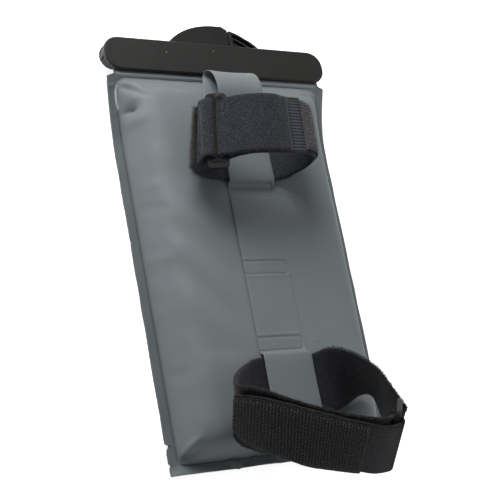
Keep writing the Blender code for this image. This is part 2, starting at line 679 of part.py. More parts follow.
def build_lower_strap(materials):
    """Strap round the bar's lower side, slumped towards the pouch's foot."""
    bed = belly_outside(LOWER_STRAP_Y) + GAP + STRAP_THICKNESS / 2

    def at(x, back, height):
        """Point of the route, as shares of the loop's width, slump and height."""
        return Vector((x * LOWER_LOOP_WIDTH, LOWER_STRAP_Y - back * LOWER_LOOP_SLUMP,
                       bed + height * LOWER_LOOP_HEIGHT))

    # Each station: place in the loop, then tilt and yaw of the strap's width in degrees
    front = [(-0.49, 0.468, 0.607, 51, -20), (-0.439, 0.528, 0.75, 49, -18),
             (-0.364, 0.617, 0.875, 47, -16), (-0.265, 0.719, 0.946, 46, -15),
             (-0.15, 0.831, 0.982, 46, -12), (-0.04, 0.912, 1, 48, -12),
             (0.07, 0.98, 1, 51, -13), (0.184, 1.044, 0.982, 54, -13),
             (0.3, 1.09, 0.93, 54, -12)]
    outer = [at(x, back, height) for x, back, height, _, _ in front]
    outer_sides = [tilted(tilt, yaw) for _, _, _, tilt, yaw in front]
    under = STRAP_THICKNESS + GAP + LAYER_SLACK
    inner = [point - out * under + side * LAYER_RISE
             for point, out, side in zip(outer, normals(outer, outer_sides), outer_sides)]

    ring_side = tilted(53, -12)
    centre = at(0.44, 0.925, 0.736)
    bars, flat, up = ring_object("lower_ring", centre, Vector(LOWER_RING_ALONG), ring_side,
                                 RING_PLAY - RING_HOLE_CORNER, materials)
    turn = wrap(bars[0], flat, up, 155, -70)
    tail = wrap(bars[1], flat, up, 60, 235)
    route = outer + turn + inner[::-1]
    sides = outer_sides + [ring_side] * len(turn) + outer_sides[::-1]
    loop = [(-0.462, 0.35, 0.46, 36, -12), (-0.412, 0.26, 0.3, 22, -7),
            (-0.335, 0.16, 0.15, 10, -3), (-0.265, 0.07, 0.05, 3, 0), (-0.188, 0, 0, 0, 0),
            (0, 0, 0, 0, 0), (0.15, 0, 0, 0, 0), (0.2, -0.005, 0.03, 2, -2),
            (0.265, -0.03, 0.18, 16, -14), (0.34, -0.035, 0.36, 38, -33),
            (0.415, 0.03, 0.48, 51, -48), (0.478, 0.18, 0.58, 60, -55),
            (0.503, 0.45, 0.67, 65, -50), (0.523, 0.72, 0.7, 60, -30)]
    route += [at(x, back, height) for x, back, height, _, _ in loop]
    sides += [tilted(tilt, yaw) for _, _, _, tilt, yaw in loop]
    route += tail
    sides += [ring_side] * len(tail)
    path = smooth_path(route, 2)
    across = [side.normalized() for side in smooth_path(sides, 2)]
    add_object("lower_strap", band(path, across, STRAP_WIDTH, STRAP_THICKNESS),
               materials["webbing"])
    lift = (STRAP_THICKNESS + PATCH_THICKNESS) / 2 + 2 * GAP
    patch, patch_sides = patch_on(path, across, 0, 2 * len(front) - 4, lift)
    add_object("lower_hook_patch",
               band(patch, patch_sides, STRAP_WIDTH - 2 * PATCH_MARGIN, PATCH_THICKNESS),
               materials["hook"])


def build():
    clear_scene()
    materials = {name: make_material(name) for name in COLOURS}
    build_pouch(materials)
    build_bars(materials)
    for side, word in ((-1, "left"), (1, "right")):
        build_lever(side, word, materials)
        build_pin(side, word, materials)
    build_carrier(materials)
    build_upper_strap(materials)
    build_lower_strap(materials)


build()
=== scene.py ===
"""Looks for the phone pouch: films, foam, straps and tapes are modelled afresh round the
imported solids, and the rigid parts keep their own meshes with finished materials."""

from bisect import bisect_left
from math import cos, exp, pi, radians, sin, sqrt, tanh
from random import Random

import bmesh
import bpy
import numpy as np
from mathutils import Matrix, Vector, noise


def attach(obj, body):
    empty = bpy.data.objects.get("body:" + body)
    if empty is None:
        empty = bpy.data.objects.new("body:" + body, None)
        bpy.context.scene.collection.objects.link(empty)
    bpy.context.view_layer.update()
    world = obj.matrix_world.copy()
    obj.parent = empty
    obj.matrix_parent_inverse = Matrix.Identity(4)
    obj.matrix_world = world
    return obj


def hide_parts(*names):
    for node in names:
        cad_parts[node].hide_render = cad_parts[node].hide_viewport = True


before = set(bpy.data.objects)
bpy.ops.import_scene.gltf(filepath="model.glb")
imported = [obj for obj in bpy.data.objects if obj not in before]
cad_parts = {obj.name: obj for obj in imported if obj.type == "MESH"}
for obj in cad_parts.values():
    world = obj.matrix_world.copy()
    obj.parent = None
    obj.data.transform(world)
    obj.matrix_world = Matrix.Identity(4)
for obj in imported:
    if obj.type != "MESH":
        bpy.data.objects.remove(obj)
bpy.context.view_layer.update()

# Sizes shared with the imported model, in millimetres; MM turns them into metres
MM = 0.001
GAP = 0.3
FILM = 0.6
WINDOW_FILM = 0.5
WINDOW_WIDTH = 94
WINDOW_LENGTH = 150
WINDOW_LAP = 5
WINDOW_CORNER = 8
TOP_MARGIN = 45
BOTTOM_MARGIN = 5.5
FLANGE = 4.8
MOUTH_WIDTH = 129.2
UPPER_WIDTH = 125.4
LOWER_WIDTH = 120.2
NECK_WIDTH = 121
NECK_LENGTH = 2.5
SHOULDER_LENGTH = 36
SHOULDER_POWER = 1.6
BELLY_DEPTH = 21
BELLY_EDGE = 6
BELLY_POWER = 1.2
LINER_THICKNESS = 4
LINER_INSET = 12
MOUTH_CLEARANCE = 0.4
PINCH_DEPTH = 8.3
PINCH_HEIGHT = 11.1
CARRIER_WIDTH = 26
CARRIER_FILM = 0.6
WELD_PITCH = 40.3
WELD_LENGTH = 7.3
CARRIER_LOOP_HEIGHT = 9
CARRIER_FOLD_GAP = 2
CARRIER_EASE = 2
STRAP_WIDTH = 30
STRAP_THICKNESS = 1.6
PATCH_THICKNESS = 1
PATCH_MARGIN = 1.5
UPPER_STRAP_Y = 70
UPPER_STRAP_DROP = 6
LOWER_STRAP_DROP = 21.4
RING_BAR = 2.4
RING_SLOT = 5.8
UPPER_LOOP_WIDTH = 60
UPPER_LOOP_HEIGHT = 34
UPPER_RING_SLANT = radians(25)
LOWER_LOOP_WIDTH = 80
LOWER_LOOP_HEIGHT = 28
LOWER_LOOP_SLUMP = 35
LOWER_RING_ALONG = (0.54, 0.72, -0.44)
LAYER_SLACK = 0.5

MOUTH_Y = WINDOW_LENGTH / 2 + TOP_MARGIN
TOP_SEAM_Y = MOUTH_Y - NECK_LENGTH
BOTTOM_SEAM_Y = -WINDOW_LENGTH / 2 - BOTTOM_MARGIN
BOTTOM_EDGE_Y = BOTTOM_SEAM_Y - FLANGE
FRAME_HEIGHT = WINDOW_FILM + GAP
BAR_BOTTOM_Y = MOUTH_Y + MOUTH_CLEARANCE
FILM_END_Y = BAR_BOTTOM_Y + PINCH_DEPTH
REAR_BAR_FACE = 15.2
WELD_Y = UPPER_STRAP_Y - STRAP_WIDTH / 2 - UPPER_STRAP_DROP
LOWER_STRAP_Y = WELD_Y - 2 * WELD_PITCH - LOWER_STRAP_DROP

# Looks, with their sizes in millimetres
FILM_GREY = (0.175, 0.197, 0.207)
BLACK_PLASTIC = (0.0185, 0.0177, 0.0168)
NYLON = (0.019, 0.020, 0.026)
HOOK_TAPE = (0.034, 0.033, 0.034)
PILE = (0.012, 0.012, 0.012)
FIBRE = (0.034, 0.034, 0.027)
FOAM = (0.20, 0.205, 0.21)
# Ring plastic darkened as painted shade, for the upper ring under the strap
RING = (0.013, 0.013, 0.0135)
WELD_GAP = 0.05
OPENING_CORNER = 5
TAPE_BASE = 0.6
TAPE_SINK = 0.25
HOOK_FOOT = 0.25
KNIT_CELL = 0.48
WALE_PITCH = 1.25
RIB_PITCH = 1.7
SHARP_ANGLE = radians(50)
SEED = 7
TOP_CORNER = 4
FOOT_CORNER = 2.2
ROLL_Y = 119.2
WORLD_LEVEL = 0.24
FLOOR_GREY = (0.88, 0.88, 0.88)
FLOOR_SIZE = 6000

# Points between two stations of a strap's route
STEPS = 10
# Step in the noise that leaves no likeness between neighbours
FAR = 1000


# Small maths

def smooth(low, high, value):
    """Smooth step from 0 at low to 1 at high."""
    share = min(max((value - low) / (high - low), 0), 1)
    return share * share * (3 - 2 * share)


def hump(value, width):
    return exp(-(value / width) ** 2)


def wobble(x, y, cell, seed):
    """Smooth noise from about -1 to 1 with features of the size of a cell."""
    return noise.noise(Vector((x / cell, y / cell, seed)))


def linspace(low, high, count):
    return [low + (high - low) * i / (count - 1) for i in range(count)]


# Mesh building

def mesh_object(name, points, faces, material, attributes=None, fine=False):
    """Object from points in millimetres; fine fibres need no turned faces or sharp edges."""
    mesh = bpy.data.meshes.new(name)
    mesh.from_pydata((np.array(points) * MM).tolist(), [], faces)
    for key, values in (attributes or {}).items():
        values = np.asarray(values, np.float32)
        kind, field = ("FLOAT_VECTOR", "vector") if values.ndim == 2 else ("FLOAT", "value")
        layer = mesh.attributes.new(key, kind, "POINT")
        layer.data.foreach_set(field, values.ravel())
    mesh.materials.append(material)
    mesh.shade_smooth()
    if not fine:
        shape = bmesh.new()
        shape.from_mesh(mesh)
        bmesh.ops.recalc_face_normals(shape, faces=shape.faces)
        shape.to_mesh(mesh)
        shape.free()
        mesh.set_sharp_from_angle(angle=SHARP_ANGLE)
    item = bpy.data.objects.new(name, mesh)
    bpy.context.scene.collection.objects.link(item)
    return item


def ring_faces(levels, sides, first=0, closed=False):
    """Quads between rings of points, which come back to the first ring if closed."""
    faces = []
    for level in range(levels if closed else levels - 1):
        a, b = first + level * sides, first + (level + 1) % levels * sides
        for j in range(sides):
            k = (j + 1) % sides
            faces.append([a + j, a + k, b + k, b + j])
    return faces


def tube_faces(levels, sides, first=0, turn=0):
    """Faces of a tube of rings whose ends are closed between the ring's two halves."""
    faces = ring_faces(levels, sides, first)
    for start in (first, first + (levels - 1) * sides):
        ring = [start + (turn + j) % sides for j in range(sides)]
        faces += [[ring[j], ring[j + 1], ring[-2 - j], ring[-1 - j]] for j in range(sides // 2 - 1)]
    return faces


def grid_normals(grid):
    """Unit normals of a grid of points, from its own slopes."""
    along = np.gradient(grid, axis=0)
    across = np.gradient(grid, axis=1)
    normal = np.cross(across, along)
    return normal / np.linalg.norm(normal, axis=2, keepdims=True)


def sheet_object(name, outer, inner, material, attributes=None):
    """Closed sheet between two grids of points; each attribute is a grid of values."""
    def both(a, b):
        return np.concatenate((a, b[:, ::-1]), axis=1)

    points = both(outer, inner).reshape(-1, 3)
    doubled = {key: both(values, values).ravel() for key, values in (attributes or {}).items()}
    return mesh_object(name, points, tube_faces(len(outer), 2 * outer.shape[1]), material, doubled)


# Pouch shape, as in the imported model

def half_width(y):
    run = (y - BOTTOM_EDGE_Y) / (MOUTH_Y - SHOULDER_LENGTH - BOTTOM_EDGE_Y)
    belly = LOWER_WIDTH + (UPPER_WIDTH - LOWER_WIDTH) * min(run, 1)
    shoulder = min(max(1 - (MOUTH_Y - y) / SHOULDER_LENGTH, 0), 1)
    return (belly + (MOUTH_WIDTH - belly) * shoulder ** SHOULDER_POWER) / 2


def film_edge(y):
    """Half width of the film, which narrows at the neck to fit in the clamp."""
    neck = smooth(TOP_SEAM_Y + 0.5, MOUTH_Y - 0.1, y)
    return half_width(y) * (1 - neck) + NECK_WIDTH / 2 * neck


def seam_height(y):
    shoulder = min(max(1 - (MOUTH_Y - y) / SHOULDER_LENGTH, 0), 1)
    return FRAME_HEIGHT + (PINCH_HEIGHT - FRAME_HEIGHT) * shoulder ** SHOULDER_POWER


def swell(inset):
    return tanh(max(inset, 0) / BELLY_EDGE) ** BELLY_POWER


def rounded_inset(side, end, radius):
    """Distance inside a seam whose corner is rounded, from the distances to both edges."""
    if side < radius and end < radius:
        return radius - sqrt((radius - side) ** 2 + (radius - end) ** 2)
    return min(side, end)


def corner_radius(y):
    return TOP_CORNER if y > 0 else FOOT_CORNER


def belly_inside(x, y):
    flange = seam_height(y) + FILM + WELD_GAP
    side = half_width(y) - FLANGE - abs(x)
    top, foot = TOP_SEAM_Y - y, y - BOTTOM_SEAM_Y
    end = min(top, foot)
    share = swell(side) * swell(0.85 * top) * swell(foot)
    radius = corner_radius(y)
    if 0 < side < radius and 0 < end < radius:
        share *= max(rounded_inset(side, end, radius), 0) / min(side, end)
    return flange + (BELLY_DEPTH - FILM - flange) * share


def belly_outside(y):
    """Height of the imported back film's outer face on the centre line."""
    flange = seam_height(y) + FILM + GAP
    ends = swell(half_width(y) - FLANGE) * swell(TOP_SEAM_Y - y) * swell(y - BOTTOM_SEAM_Y)
    return flange + (BELLY_DEPTH - FILM - flange) * ends + FILM


# Folds, waves and wear of the films

# Each corner's folds: place, height and spread
CORNERS = ((-58.5, 116, 0.8, 24), (58.5, 116, 0.5, 20), (-56, -79.5, 0.45, 22), (56, -79.5, 0.5, 20))
# Each dent or bulge: centre, width in x and y, and height
DENTS = ((-54.6, 98.6, 2.6, 3, -1.5), (-52.5, 91.5, 3.6, 3.4, 0.7), (-50, 106, 4, 3.6, 0.45),
         (53, 111.5, 5.5, 1.1, 0.7), (48, 109.2, 6, 1.6, -0.35), (-40, 110.5, 12, 1.3, 0.32),
         (50, -66, 7, 9, -0.7))


def clear_of_straps(x, y):
    """1 on the open belly, 0 where the carrier strip and the straps lie on it."""
    strip = smooth(14, 20, abs(x)) if y > -75 else 1
    lower = smooth(16, 21, abs(y - LOWER_STRAP_Y))
    upper = smooth(16, 21, abs(y - UPPER_STRAP_Y))
    if abs(x) < 30:
        strip = min(strip, lower, upper)
    elif abs(x) < 40:
        strip = min(strip, lower)
    return strip


# Each fold: start, end, width and height
FOLDS = ((-58.4, 113.8, -46.5, 101.5, 1.2, -0.95), (-57.2, 114.8, -44.5, 104, 1.3, 0.6),
         (-57.9, 98.9, -52.4, 97.2, 1.1, -1.4), (-55.7, 112.6, -39, 110.4, 1.1, 0.55),
         (-39, 110.4, -18, 110.4, 1.3, 0.45), (-52, 108.8, -18, 108.2, 1.5, -0.4),
         (44.5, 108, 52.5, 111.6, 1, -0.6), (52.5, 111.9, 59.5, 115.5, 1, 0.45),
         (44, 110, 56, 115.5, 1.1, 0.35), (13.4, 53, 29, 43, 1.6, 0.75),
         (13, 50.4, 27, 40.8, 1.8, -0.6), (-56, -79.4, -47, -68.5, 1.1, 1),
         (-55.5, -79.6, -44, -74.5, 1.2, -0.8), (-54, -79.6, -34, -77.2, 1.1, 0.7),
         (56, -79.4, 48, -70, 1.4, 0.6), (-13.6, 34, -15.5, 4, 1.6, -0.22),
         (-58, 60, -47, 52, 2.2, 0.35), (-57.5, 47, -43, 38, 2.4, -0.35),
         (-57, 20, -46, 14, 2.2, 0.3), (-56.5, -38, -48, -43, 2.2, -0.3))
FLANGE_FOLDS = ((-64.5, 113.5, -59, 114, 0.6, 0.4), (-64, 100.2, -58.9, 99.4, 0.6, 0.3),
                (-31, -80, -21.5, -86.5, 1.2, 2.4), (-19.5, -79.6, -24.5, -86.5, 1, -1.6),
                (-18, -79, -13.5, -86.5, 1.2, 2), (-12, -80, -8.5, -86.5, 0.9, -1.4),
                (-41, -80.8, -36, -85.4, 1.3, 0.6), (5, -80.2, 11, -85.4, 1.2, 1.1))


def fold_height(x, y, folds):
    """Sum of straight creases that fade out at both ends."""
    rise = 0
    for x0, y0, x1, y1, width, height in folds:
        run_x, run_y = x1 - x0, y1 - y0
        length = sqrt(run_x ** 2 + run_y ** 2)
        along = ((x - x0) * run_x + (y - y0) * run_y) / length
        across = ((x - x0) * run_y - (y - y0) * run_x) / length
        if abs(across) < 3 * width and -width < along < length + width:
            fade = smooth(-0.5, 0.18 * length, along) * smooth(length + 0.5, 0.6 * length, along)
            rise += height * hump(across, width) * fade
    return rise


def relief(x, y):
    """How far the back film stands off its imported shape, along its own normal."""
    side = half_width(y) - FLANGE - abs(x)
    top = TOP_SEAM_Y - y
    foot = y - BOTTOM_SEAM_Y
    roll = 1.1 * hump(y - ROLL_Y, 1.1) + 0.5 * hump(y - TOP_SEAM_Y, 1.2)
    roll *= smooth(61.5, 58, abs(x)) * smooth(MOUTH_Y + 0.5, MOUTH_Y - 0.1, y)
    inset = rounded_inset(side, min(top + 1.3, foot), corner_radius(y))
    # Only the roll goes on from the flange's first column outwards, 0.8 mm past the seam
    if min(side, top, foot) + 0.8 < 1e-6:
        return roll
    open_belly = clear_of_straps(x, y)
    # Soft waves of the film, and slanting bands on its left half
    rise = 0.42 * wobble(x, y, 34, 3.1) + 0.16 * wobble(x, y, 13, 8.4)
    rise += 0.07 * wobble(x, y, 5, 1.7)
    bands = smooth(-12, -28, x) * smooth(-60, 0, y) * smooth(75, 55, y)
    phase = y + 0.85 * x + 7 * wobble(x, y, 28, 5)
    rise += 0.48 * bands * sin(2 * pi * phase / 27) * smooth(4, 14, side)
    for cx, cy, height, spread in CORNERS:
        away = Vector((x - cx, y - cy))
        turn = away.angle_signed(Vector((1, 0)), 0) if away.length > 1e-6 else 0
        fold = sin(9 * turn + 3 * wobble(x, y, 12, cx)) + 0.5 * sin(17 * turn + cx)
        fold *= exp(-away.length / (0.42 * spread)) * smooth(0, 6, away.length)
        rise += height * 0.5 * fold
    for cx, cy, wide, tall, height in DENTS:
        rise += height * hump(x - cx, wide) * hump(y - cy, tall)
    hollow = 1 if x < 0 else 0.5
    rise -= hollow * hump(side - 9.5, 5.5) * smooth(0, 12, min(top, foot))
    rise = (rise * open_belly + fold_height(x, y, FOLDS)) * smooth(0, 4, inset)
    # Puckers along the seams, and the bead beside the weld
    pucker = sin(2 * pi * (x + 4 * wobble(x, y, 15, 2)) / 14) * open_belly
    rise += 0.12 * exp(-max(top, 0) / 7) * pucker * smooth(0, 2.5, top)
    pucker = sin(2 * pi * (y + 9 * wobble(x, y, 18, 6)) / 13) * smooth(0, 6, min(top, foot))
    rise += 0.1 * exp(-max(side, 0) / 5) * pucker * smooth(0, 2, side)
    bead = hump(inset - 0.9, 0.5) - hump(inset + 0.1, 0.4)
    return rise + 0.3 * bead * smooth(0, 6, top) + roll


def flange_wave(x, y):
    """Lift of the welded flange where it has curled off the surface below."""
    lift = 0
    if y < BOTTOM_SEAM_Y:
        out = min((BOTTOM_SEAM_Y - y) / FLANGE, 1)
        wave = 0.5 + 0.5 * sin(2 * pi * (x - 7) / 31 + 1.4 * sin(x / 13))
        crease = abs(sin(2 * pi * x / 23 + 0.7))
        lift += (1.9 * wave + 0.7 * crease) * out ** 1.4
    side = (abs(x) - half_width(y) + FLANGE) / FLANGE
    if side > 0 and y < MOUTH_Y - SHOULDER_LENGTH * 0.3:
        wave = 0.5 + 0.5 * sin(2 * pi * y / 29 + 1.1 * sin(y / 11) + (1 if x > 0 else 0))
        lift += 0.5 * wave * min(side, 1) ** 1.5 * smooth(0, 5, y - BOTTOM_EDGE_Y)
    if side > 0 or y < BOTTOM_SEAM_Y:
        lift += fold_height(x, y, FLANGE_FOLDS)
    return max(lift, 0)


# Each tear in the flange: place along it, depth and half width
NOTCHES = ((-71.3, 2.6, 1.5), (-80.2, 1.3, 1.1), (30.5, 0.5, 1.2))


def notch(y):
    """Depth of the small tears in the left flange's edge at y."""
    torn = sum(size * max(1 - abs(y - centre) / width, 0) for centre, size, width in NOTCHES)
    return torn + 0.12 * wobble(0, y, 2.4, 4)


def back_rows():
    rows = linspace(BOTTOM_EDGE_Y, BOTTOM_SEAM_Y, 8)
    steps = [0.45, 0.9, 1.4, 2, 2.8, 3.7, 4.8, 6, 7.4, 9, 10.8, 12.8, 15]
    rows += [BOTTOM_SEAM_Y + step for step in steps]
    for centre, _, width in NOTCHES[:2]:
        rows += [(centre + width * share) for share in (-1, -0.5, 0, 0.5, 1)]
    low, high = BOTTOM_SEAM_Y + 15, TOP_SEAM_Y - 30
    rows += linspace(low, high, 96)[1:]
    rows += linspace(high, TOP_SEAM_Y - 14.5, 17)[1:]
    steps = linspace(13.6, 5.5, 10) + [4.7, 3.9, 3.2, 2.5, 1.9, 1.4, 0.9, 0.45]
    rows += [TOP_SEAM_Y - step for step in steps]
    rows += linspace(TOP_SEAM_Y, MOUTH_Y, 7) + linspace(MOUTH_Y, FILM_END_Y, 4)[1:]
    rows = sorted(rows)
    kept = [rows[0]]
    for row in rows[1:]:
        if row - kept[-1] > 0.12:
            kept.append(row)
    return kept


BELLY_STEPS = (0, 0.45, 0.9, 1.35, 1.9, 2.6, 3.4, 4.3, 5.3, 6.4, 7.6, 8.9, 10.3, 11.8, 13.4, 15.1,
               16.9, 18.8, 20.8)


def back_columns(y):
    """X values across the back film at y, from the left edge to the right one."""
    edge = film_edge(y)
    seam = edge - FLANGE
    flange = linspace(edge, seam, 7)[:-1]
    sides = [seam - step for step in BELLY_STEPS]
    middle = linspace(sides[-1], 0, 20)[1:]
    right = flange + sides + middle
    left_flange = [-(seam + (x - seam) * (1 - notch(y) / FLANGE)) for x in flange]
    return left_flange + [-x for x in sides + middle[:-1]] + right[::-1]


def flange_shade(x, y):
    """Painted shade for the film's colour: 1 on the welded flange and 0 on the belly, half as strong on
    the right flange.
    """
    inset = min(half_width(y) - FLANGE - abs(x), y - BOTTOM_SEAM_Y)
    return smooth(0.3, -0.2, inset) * (1 if x < 0 else 0.5)


# Points of the painted highlight along the upper left seam
PAINTED_HIGHLIGHT = ((-59.4, 113.4), (-59.8, 110.5), (-59.7, 107.5), (-59.2, 105), (-58.5, 102.6))


def painted_light(x, y):
    """Strength of the painted highlight on the upper left seam, and of the painted light that makes the
    neck paler in the clamp's shadow.
    """
    nearest = 1.0
    for (x0, y0), (x1, y1) in zip(PAINTED_HIGHLIGHT, PAINTED_HIGHLIGHT[1:]):
        run = Vector((x1 - x0, y1 - y0))
        away = Vector((x - x0, y - y0))
        share = min(max(away.dot(run) / run.length_squared, 0), 1)
        nearest = min(nearest, (away - run * share).length)
    # Painted light on the neck, which lightens the clamp's shadow there
    neck = 0.12 * hump(y - 118.6, 1.1) * smooth(60, 56, abs(x))
    return max(hump(nearest, 0.5) if nearest < 1 else 0, neck)


def build_back_film(material):
    plan = [[(x, y) for x in back_columns(y)] for y in back_rows()]

    def each(value):
        return np.array([[value(x, y) for x, y in row] for row in plan])

    base = each(lambda x, y: (x, y, belly_inside(x, y) + flange_wave(x, y)))
    lift, normal = each(relief)[..., None], grid_normals(base)
    return sheet_object("pouch_back_film", base + normal * (lift + FILM), base + normal * lift, material,
                        {"weld": each(flange_shade), "painted_light": each(painted_light)})


def in_window(x, y):
    past_x = abs(x) - WINDOW_WIDTH / 2 + OPENING_CORNER
    past_y = abs(y) - WINDOW_LENGTH / 2 + OPENING_CORNER
    if min(past_x, past_y) > 0:
        return past_x ** 2 + past_y ** 2 < OPENING_CORNER ** 2
    return max(past_x, past_y) < OPENING_CORNER


def in_pouch(x, y):
    torn = notch(y) if x < 0 else 0
    return BOTTOM_EDGE_Y < y < FILM_END_Y and abs(x) < film_edge(y) - torn


def reach(x, y, inside):
    """Distance from the centre to an outline in the direction x, y."""
    low, high = 0, 200.0
    for _ in range(40):
        middle = (low + high) / 2
        low, high = (middle, high) if inside(x * middle, y * middle) else (low, middle)
    return low


def build_front_film(material):
    corners = [(side * NECK_WIDTH / 2, y) for side in (-1, 1) for y in (MOUTH_Y, FILM_END_Y)]
    corners += [(side * LOWER_WIDTH / 2, BOTTOM_EDGE_Y) for side in (-1, 1)]
    for centre, _, width in NOTCHES[:2]:
        corners += [(-half_width(centre), centre + width * share) for share in (-1, 0, 1)]
    turns = linspace(0, 2 * pi, 361)[:-1] + [np.arctan2(y, x) % (2 * pi) for x, y in corners]
    spokes = []
    for turn in sorted(set(turns)):
        x, y = cos(turn), sin(turn)
        inner, outer = reach(x, y, in_window), reach(x, y, in_pouch)
        away = [inner + (outer - inner) * share
                for share in (0, 0.03, 0.1, 0.2, 0.32, 0.44, 0.56, 0.68, 0.8, 0.9, 0.96, 1)]
        spokes.append([(x * size, y * size) for size in away])
    lower = np.array([[(x, y, seam_height(y) + flange_wave(x, y)) for x, y in ring]
                      for ring in zip(*spokes)])
    rings = np.concatenate((lower + np.array((0, 0, FILM)), lower[::-1]))
    points = rings.reshape(-1, 3)
    return mesh_object("pouch_front_film", points, ring_faces(*rings.shape[:2], closed=True), material,
                       {"weld": [flange_shade(x, y) for x, y, _ in points]})


def build_window(material):
    """Clear film with a soft rim, welded over the opening from outside."""
    width, length = WINDOW_WIDTH / 2 + WINDOW_LAP, WINDOW_LENGTH / 2 + WINDOW_LAP
    soft, steps = 0.12, 10
    points = []
    for inset, height in ((soft, 0), (0, soft), (0, WINDOW_FILM - soft), (soft, WINDOW_FILM)):
        radius = WINDOW_CORNER - inset
        for quarter, (side, end) in enumerate(((1, 1), (-1, 1), (-1, -1), (1, -1))):
            for i in range(steps + 1):
                turn = pi / 2 * (quarter + i / steps)
                points.append((side * (width - WINDOW_CORNER) + radius * cos(turn),
                               end * (length - WINDOW_CORNER) + radius * sin(turn), height))
    return mesh_object("window_clear_film", points, tube_faces(4, 4 * (steps + 1)), material)


def build_liner(material):
    low, high = BOTTOM_SEAM_Y + LINER_INSET, TOP_SEAM_Y - LINER_INSET
    rim = (0, 0.35, 0.9, 1.7, 2.8)

    def spread(start, end, count, skip):
        return ([start + step for step in rim] + linspace(start, end, count)[skip:-skip]
                + [end - step for step in rim[::-1]])

    middle = -LINER_THICKNESS / 2 - GAP
    base, top, bottom = [], [], []
    for y in spread(low, high, 70, 2):
        edge = half_width(y) - FLANGE - LINER_INSET
        places = spread(-edge, edge, 46, 3)
        base.append([(x, y, belly_inside(x, y)) for x in places])
        insets = [min(edge - abs(x), y - low, high - y) for x in places]
        halves = [LINER_THICKNESS / 2 * (0.25 + 0.75 * sqrt(max(1 - (1 - min(inset / 1.8, 1)) ** 2, 0)))
                  for inset in insets]
        top.append([[middle + half + min(relief(x, y), 0)] for x, half in zip(places, halves)])
        bottom.append([[middle - half + 0.2 * wobble(x, y, 9, 5)] for x, half in zip(places, halves)])
    base = np.array(base)
    normal = grid_normals(base)
    return sheet_object("foam_liner", base + normal * top, base + normal * bottom, material)


# Bands that follow a route

def smooth_path(points, steps):
    route = [Vector(point) for point in points]
    route = [2 * route[0] - route[1]] + route + [2 * route[-1] - route[-2]]
    path = []
    for a, b, c, d in zip(route, route[1:], route[2:], route[3:]):
        for i in range(steps):
            t = i / steps
            path.append(0.5 * (2 * b + (c - a) * t + (2 * a - 5 * b + 4 * c - d) * t * t
                               + (3 * b - a - 3 * c + d) * t ** 3))
    return path + [route[-2]]


def tangents(path):
    last = len(path) - 1
    return [(path[min(i + 1, last)] - path[max(i - 1, 0)]).normalized() for i in range(len(path))]


def normals(path, across):
    return [along.cross(side).normalized() for along, side in zip(tangents(path), across)]


def lengths(path):
    """Distance along a path at each of its points."""
    total = [0.0]
    for a, b in zip(path, path[1:]):
        total.append(total[-1] + (b - a).length)
    return total


def place_at(path, run, v):
    """Index of the stretch of a path at the distance v along it, and the point there."""
    i = min(max(bisect_left(run, v) - 1, 0), len(run) - 2)
    share = (v - run[i]) / max(run[i + 1] - run[i], 1e-9)
    return i, path[i].lerp(path[i + 1], min(max(share, 0), 1))


def band_object(name, path, across, width, thickness, material, seed, cells=22, clip=None,
                zones=None, raise_face=None):
    """Strap with rounded selvages and soft ends, as one closed mesh.

    clip(v, side) gives how far a long edge is drawn in at v, and raise_face(u, v) how
    far the outer face is raised. The attribute lay holds u, v and the face.
    """
    rounding = thickness / 2 * 0.9
    bends = [pi * share for share in (0.28, 0.5, 0.72)]
    profile = [(share, 1, 1) for share in linspace(-1, 1, cells)]
    profile += [(1, cos(turn), 0) for turn in bends]
    profile += [(share, -1, -1) for share in linspace(1, -1, cells)]
    profile += [(-1, cos(turn), 0) for turn in bends[::-1]]
    points, lay, zone = [], [], []
    for i, (point, side, up, v) in enumerate(zip(path, across, normals(path, across), lengths(path))):
        side = side.normalized()
        at_end = i in (0, len(path) - 1)
        shift = 0.18 * wobble(v, 0, 14, seed)
        lift = 0 if at_end else 0.1 * wobble(v, 3 * FAR, 11, seed + 5)
        for share, height, face in profile:
            outward = 1 if share > 0 else -1
            edge = width / 2 - rounding + 0.12 * wobble(v, share * FAR, 2.6, seed + 9)
            if clip is not None:
                edge -= clip(v, outward)
            u = share * edge
            if face == 0:
                u += outward * rounding * sqrt(max(1 - height * height, 0))
            rise = height * thickness / 2 * (0.35 if at_end else 1)
            if raise_face is not None and face > 0:
                rise += raise_face(u, v)
            points.append(point + side * (u + shift) + up * (rise + lift))
            lay.append((u, v, face))
            zone.append(zones(v, face) if zones is not None else 0)
    return mesh_object(name, points, tube_faces(len(path), len(profile), turn=-1), material,
                       {"lay": lay, "zone": zone})


def spikes(name, roots, material, sides=3):
    """One mesh of fine tapered fibres; each root is a list of centre points and a radius."""
    points, faces = [], []
    for centres, radius in roots:
        first = len(points)
        axis = (centres[-1] - centres[0]).normalized()
        square = axis.orthogonal().normalized()
        other = axis.cross(square)
        for level, centre in enumerate(centres[:-1]):
            size = radius * (1 - 0.35 * level / len(centres))
            for turn in linspace(0, 2 * pi, sides + 1)[:-1]:
                points.append(centre + (square * cos(turn) + other * sin(turn)) * size)
        tip = len(points)
        points.append(centres[-1])
        faces.append(list(range(first, first + sides))[::-1])
        faces += ring_faces(len(centres) - 1, sides, first)
        faces += [[tip - sides + side, tip - sides + (side + 1) % sides, tip] for side in range(sides)]
    return mesh_object(name, points, faces, material, fine=True)


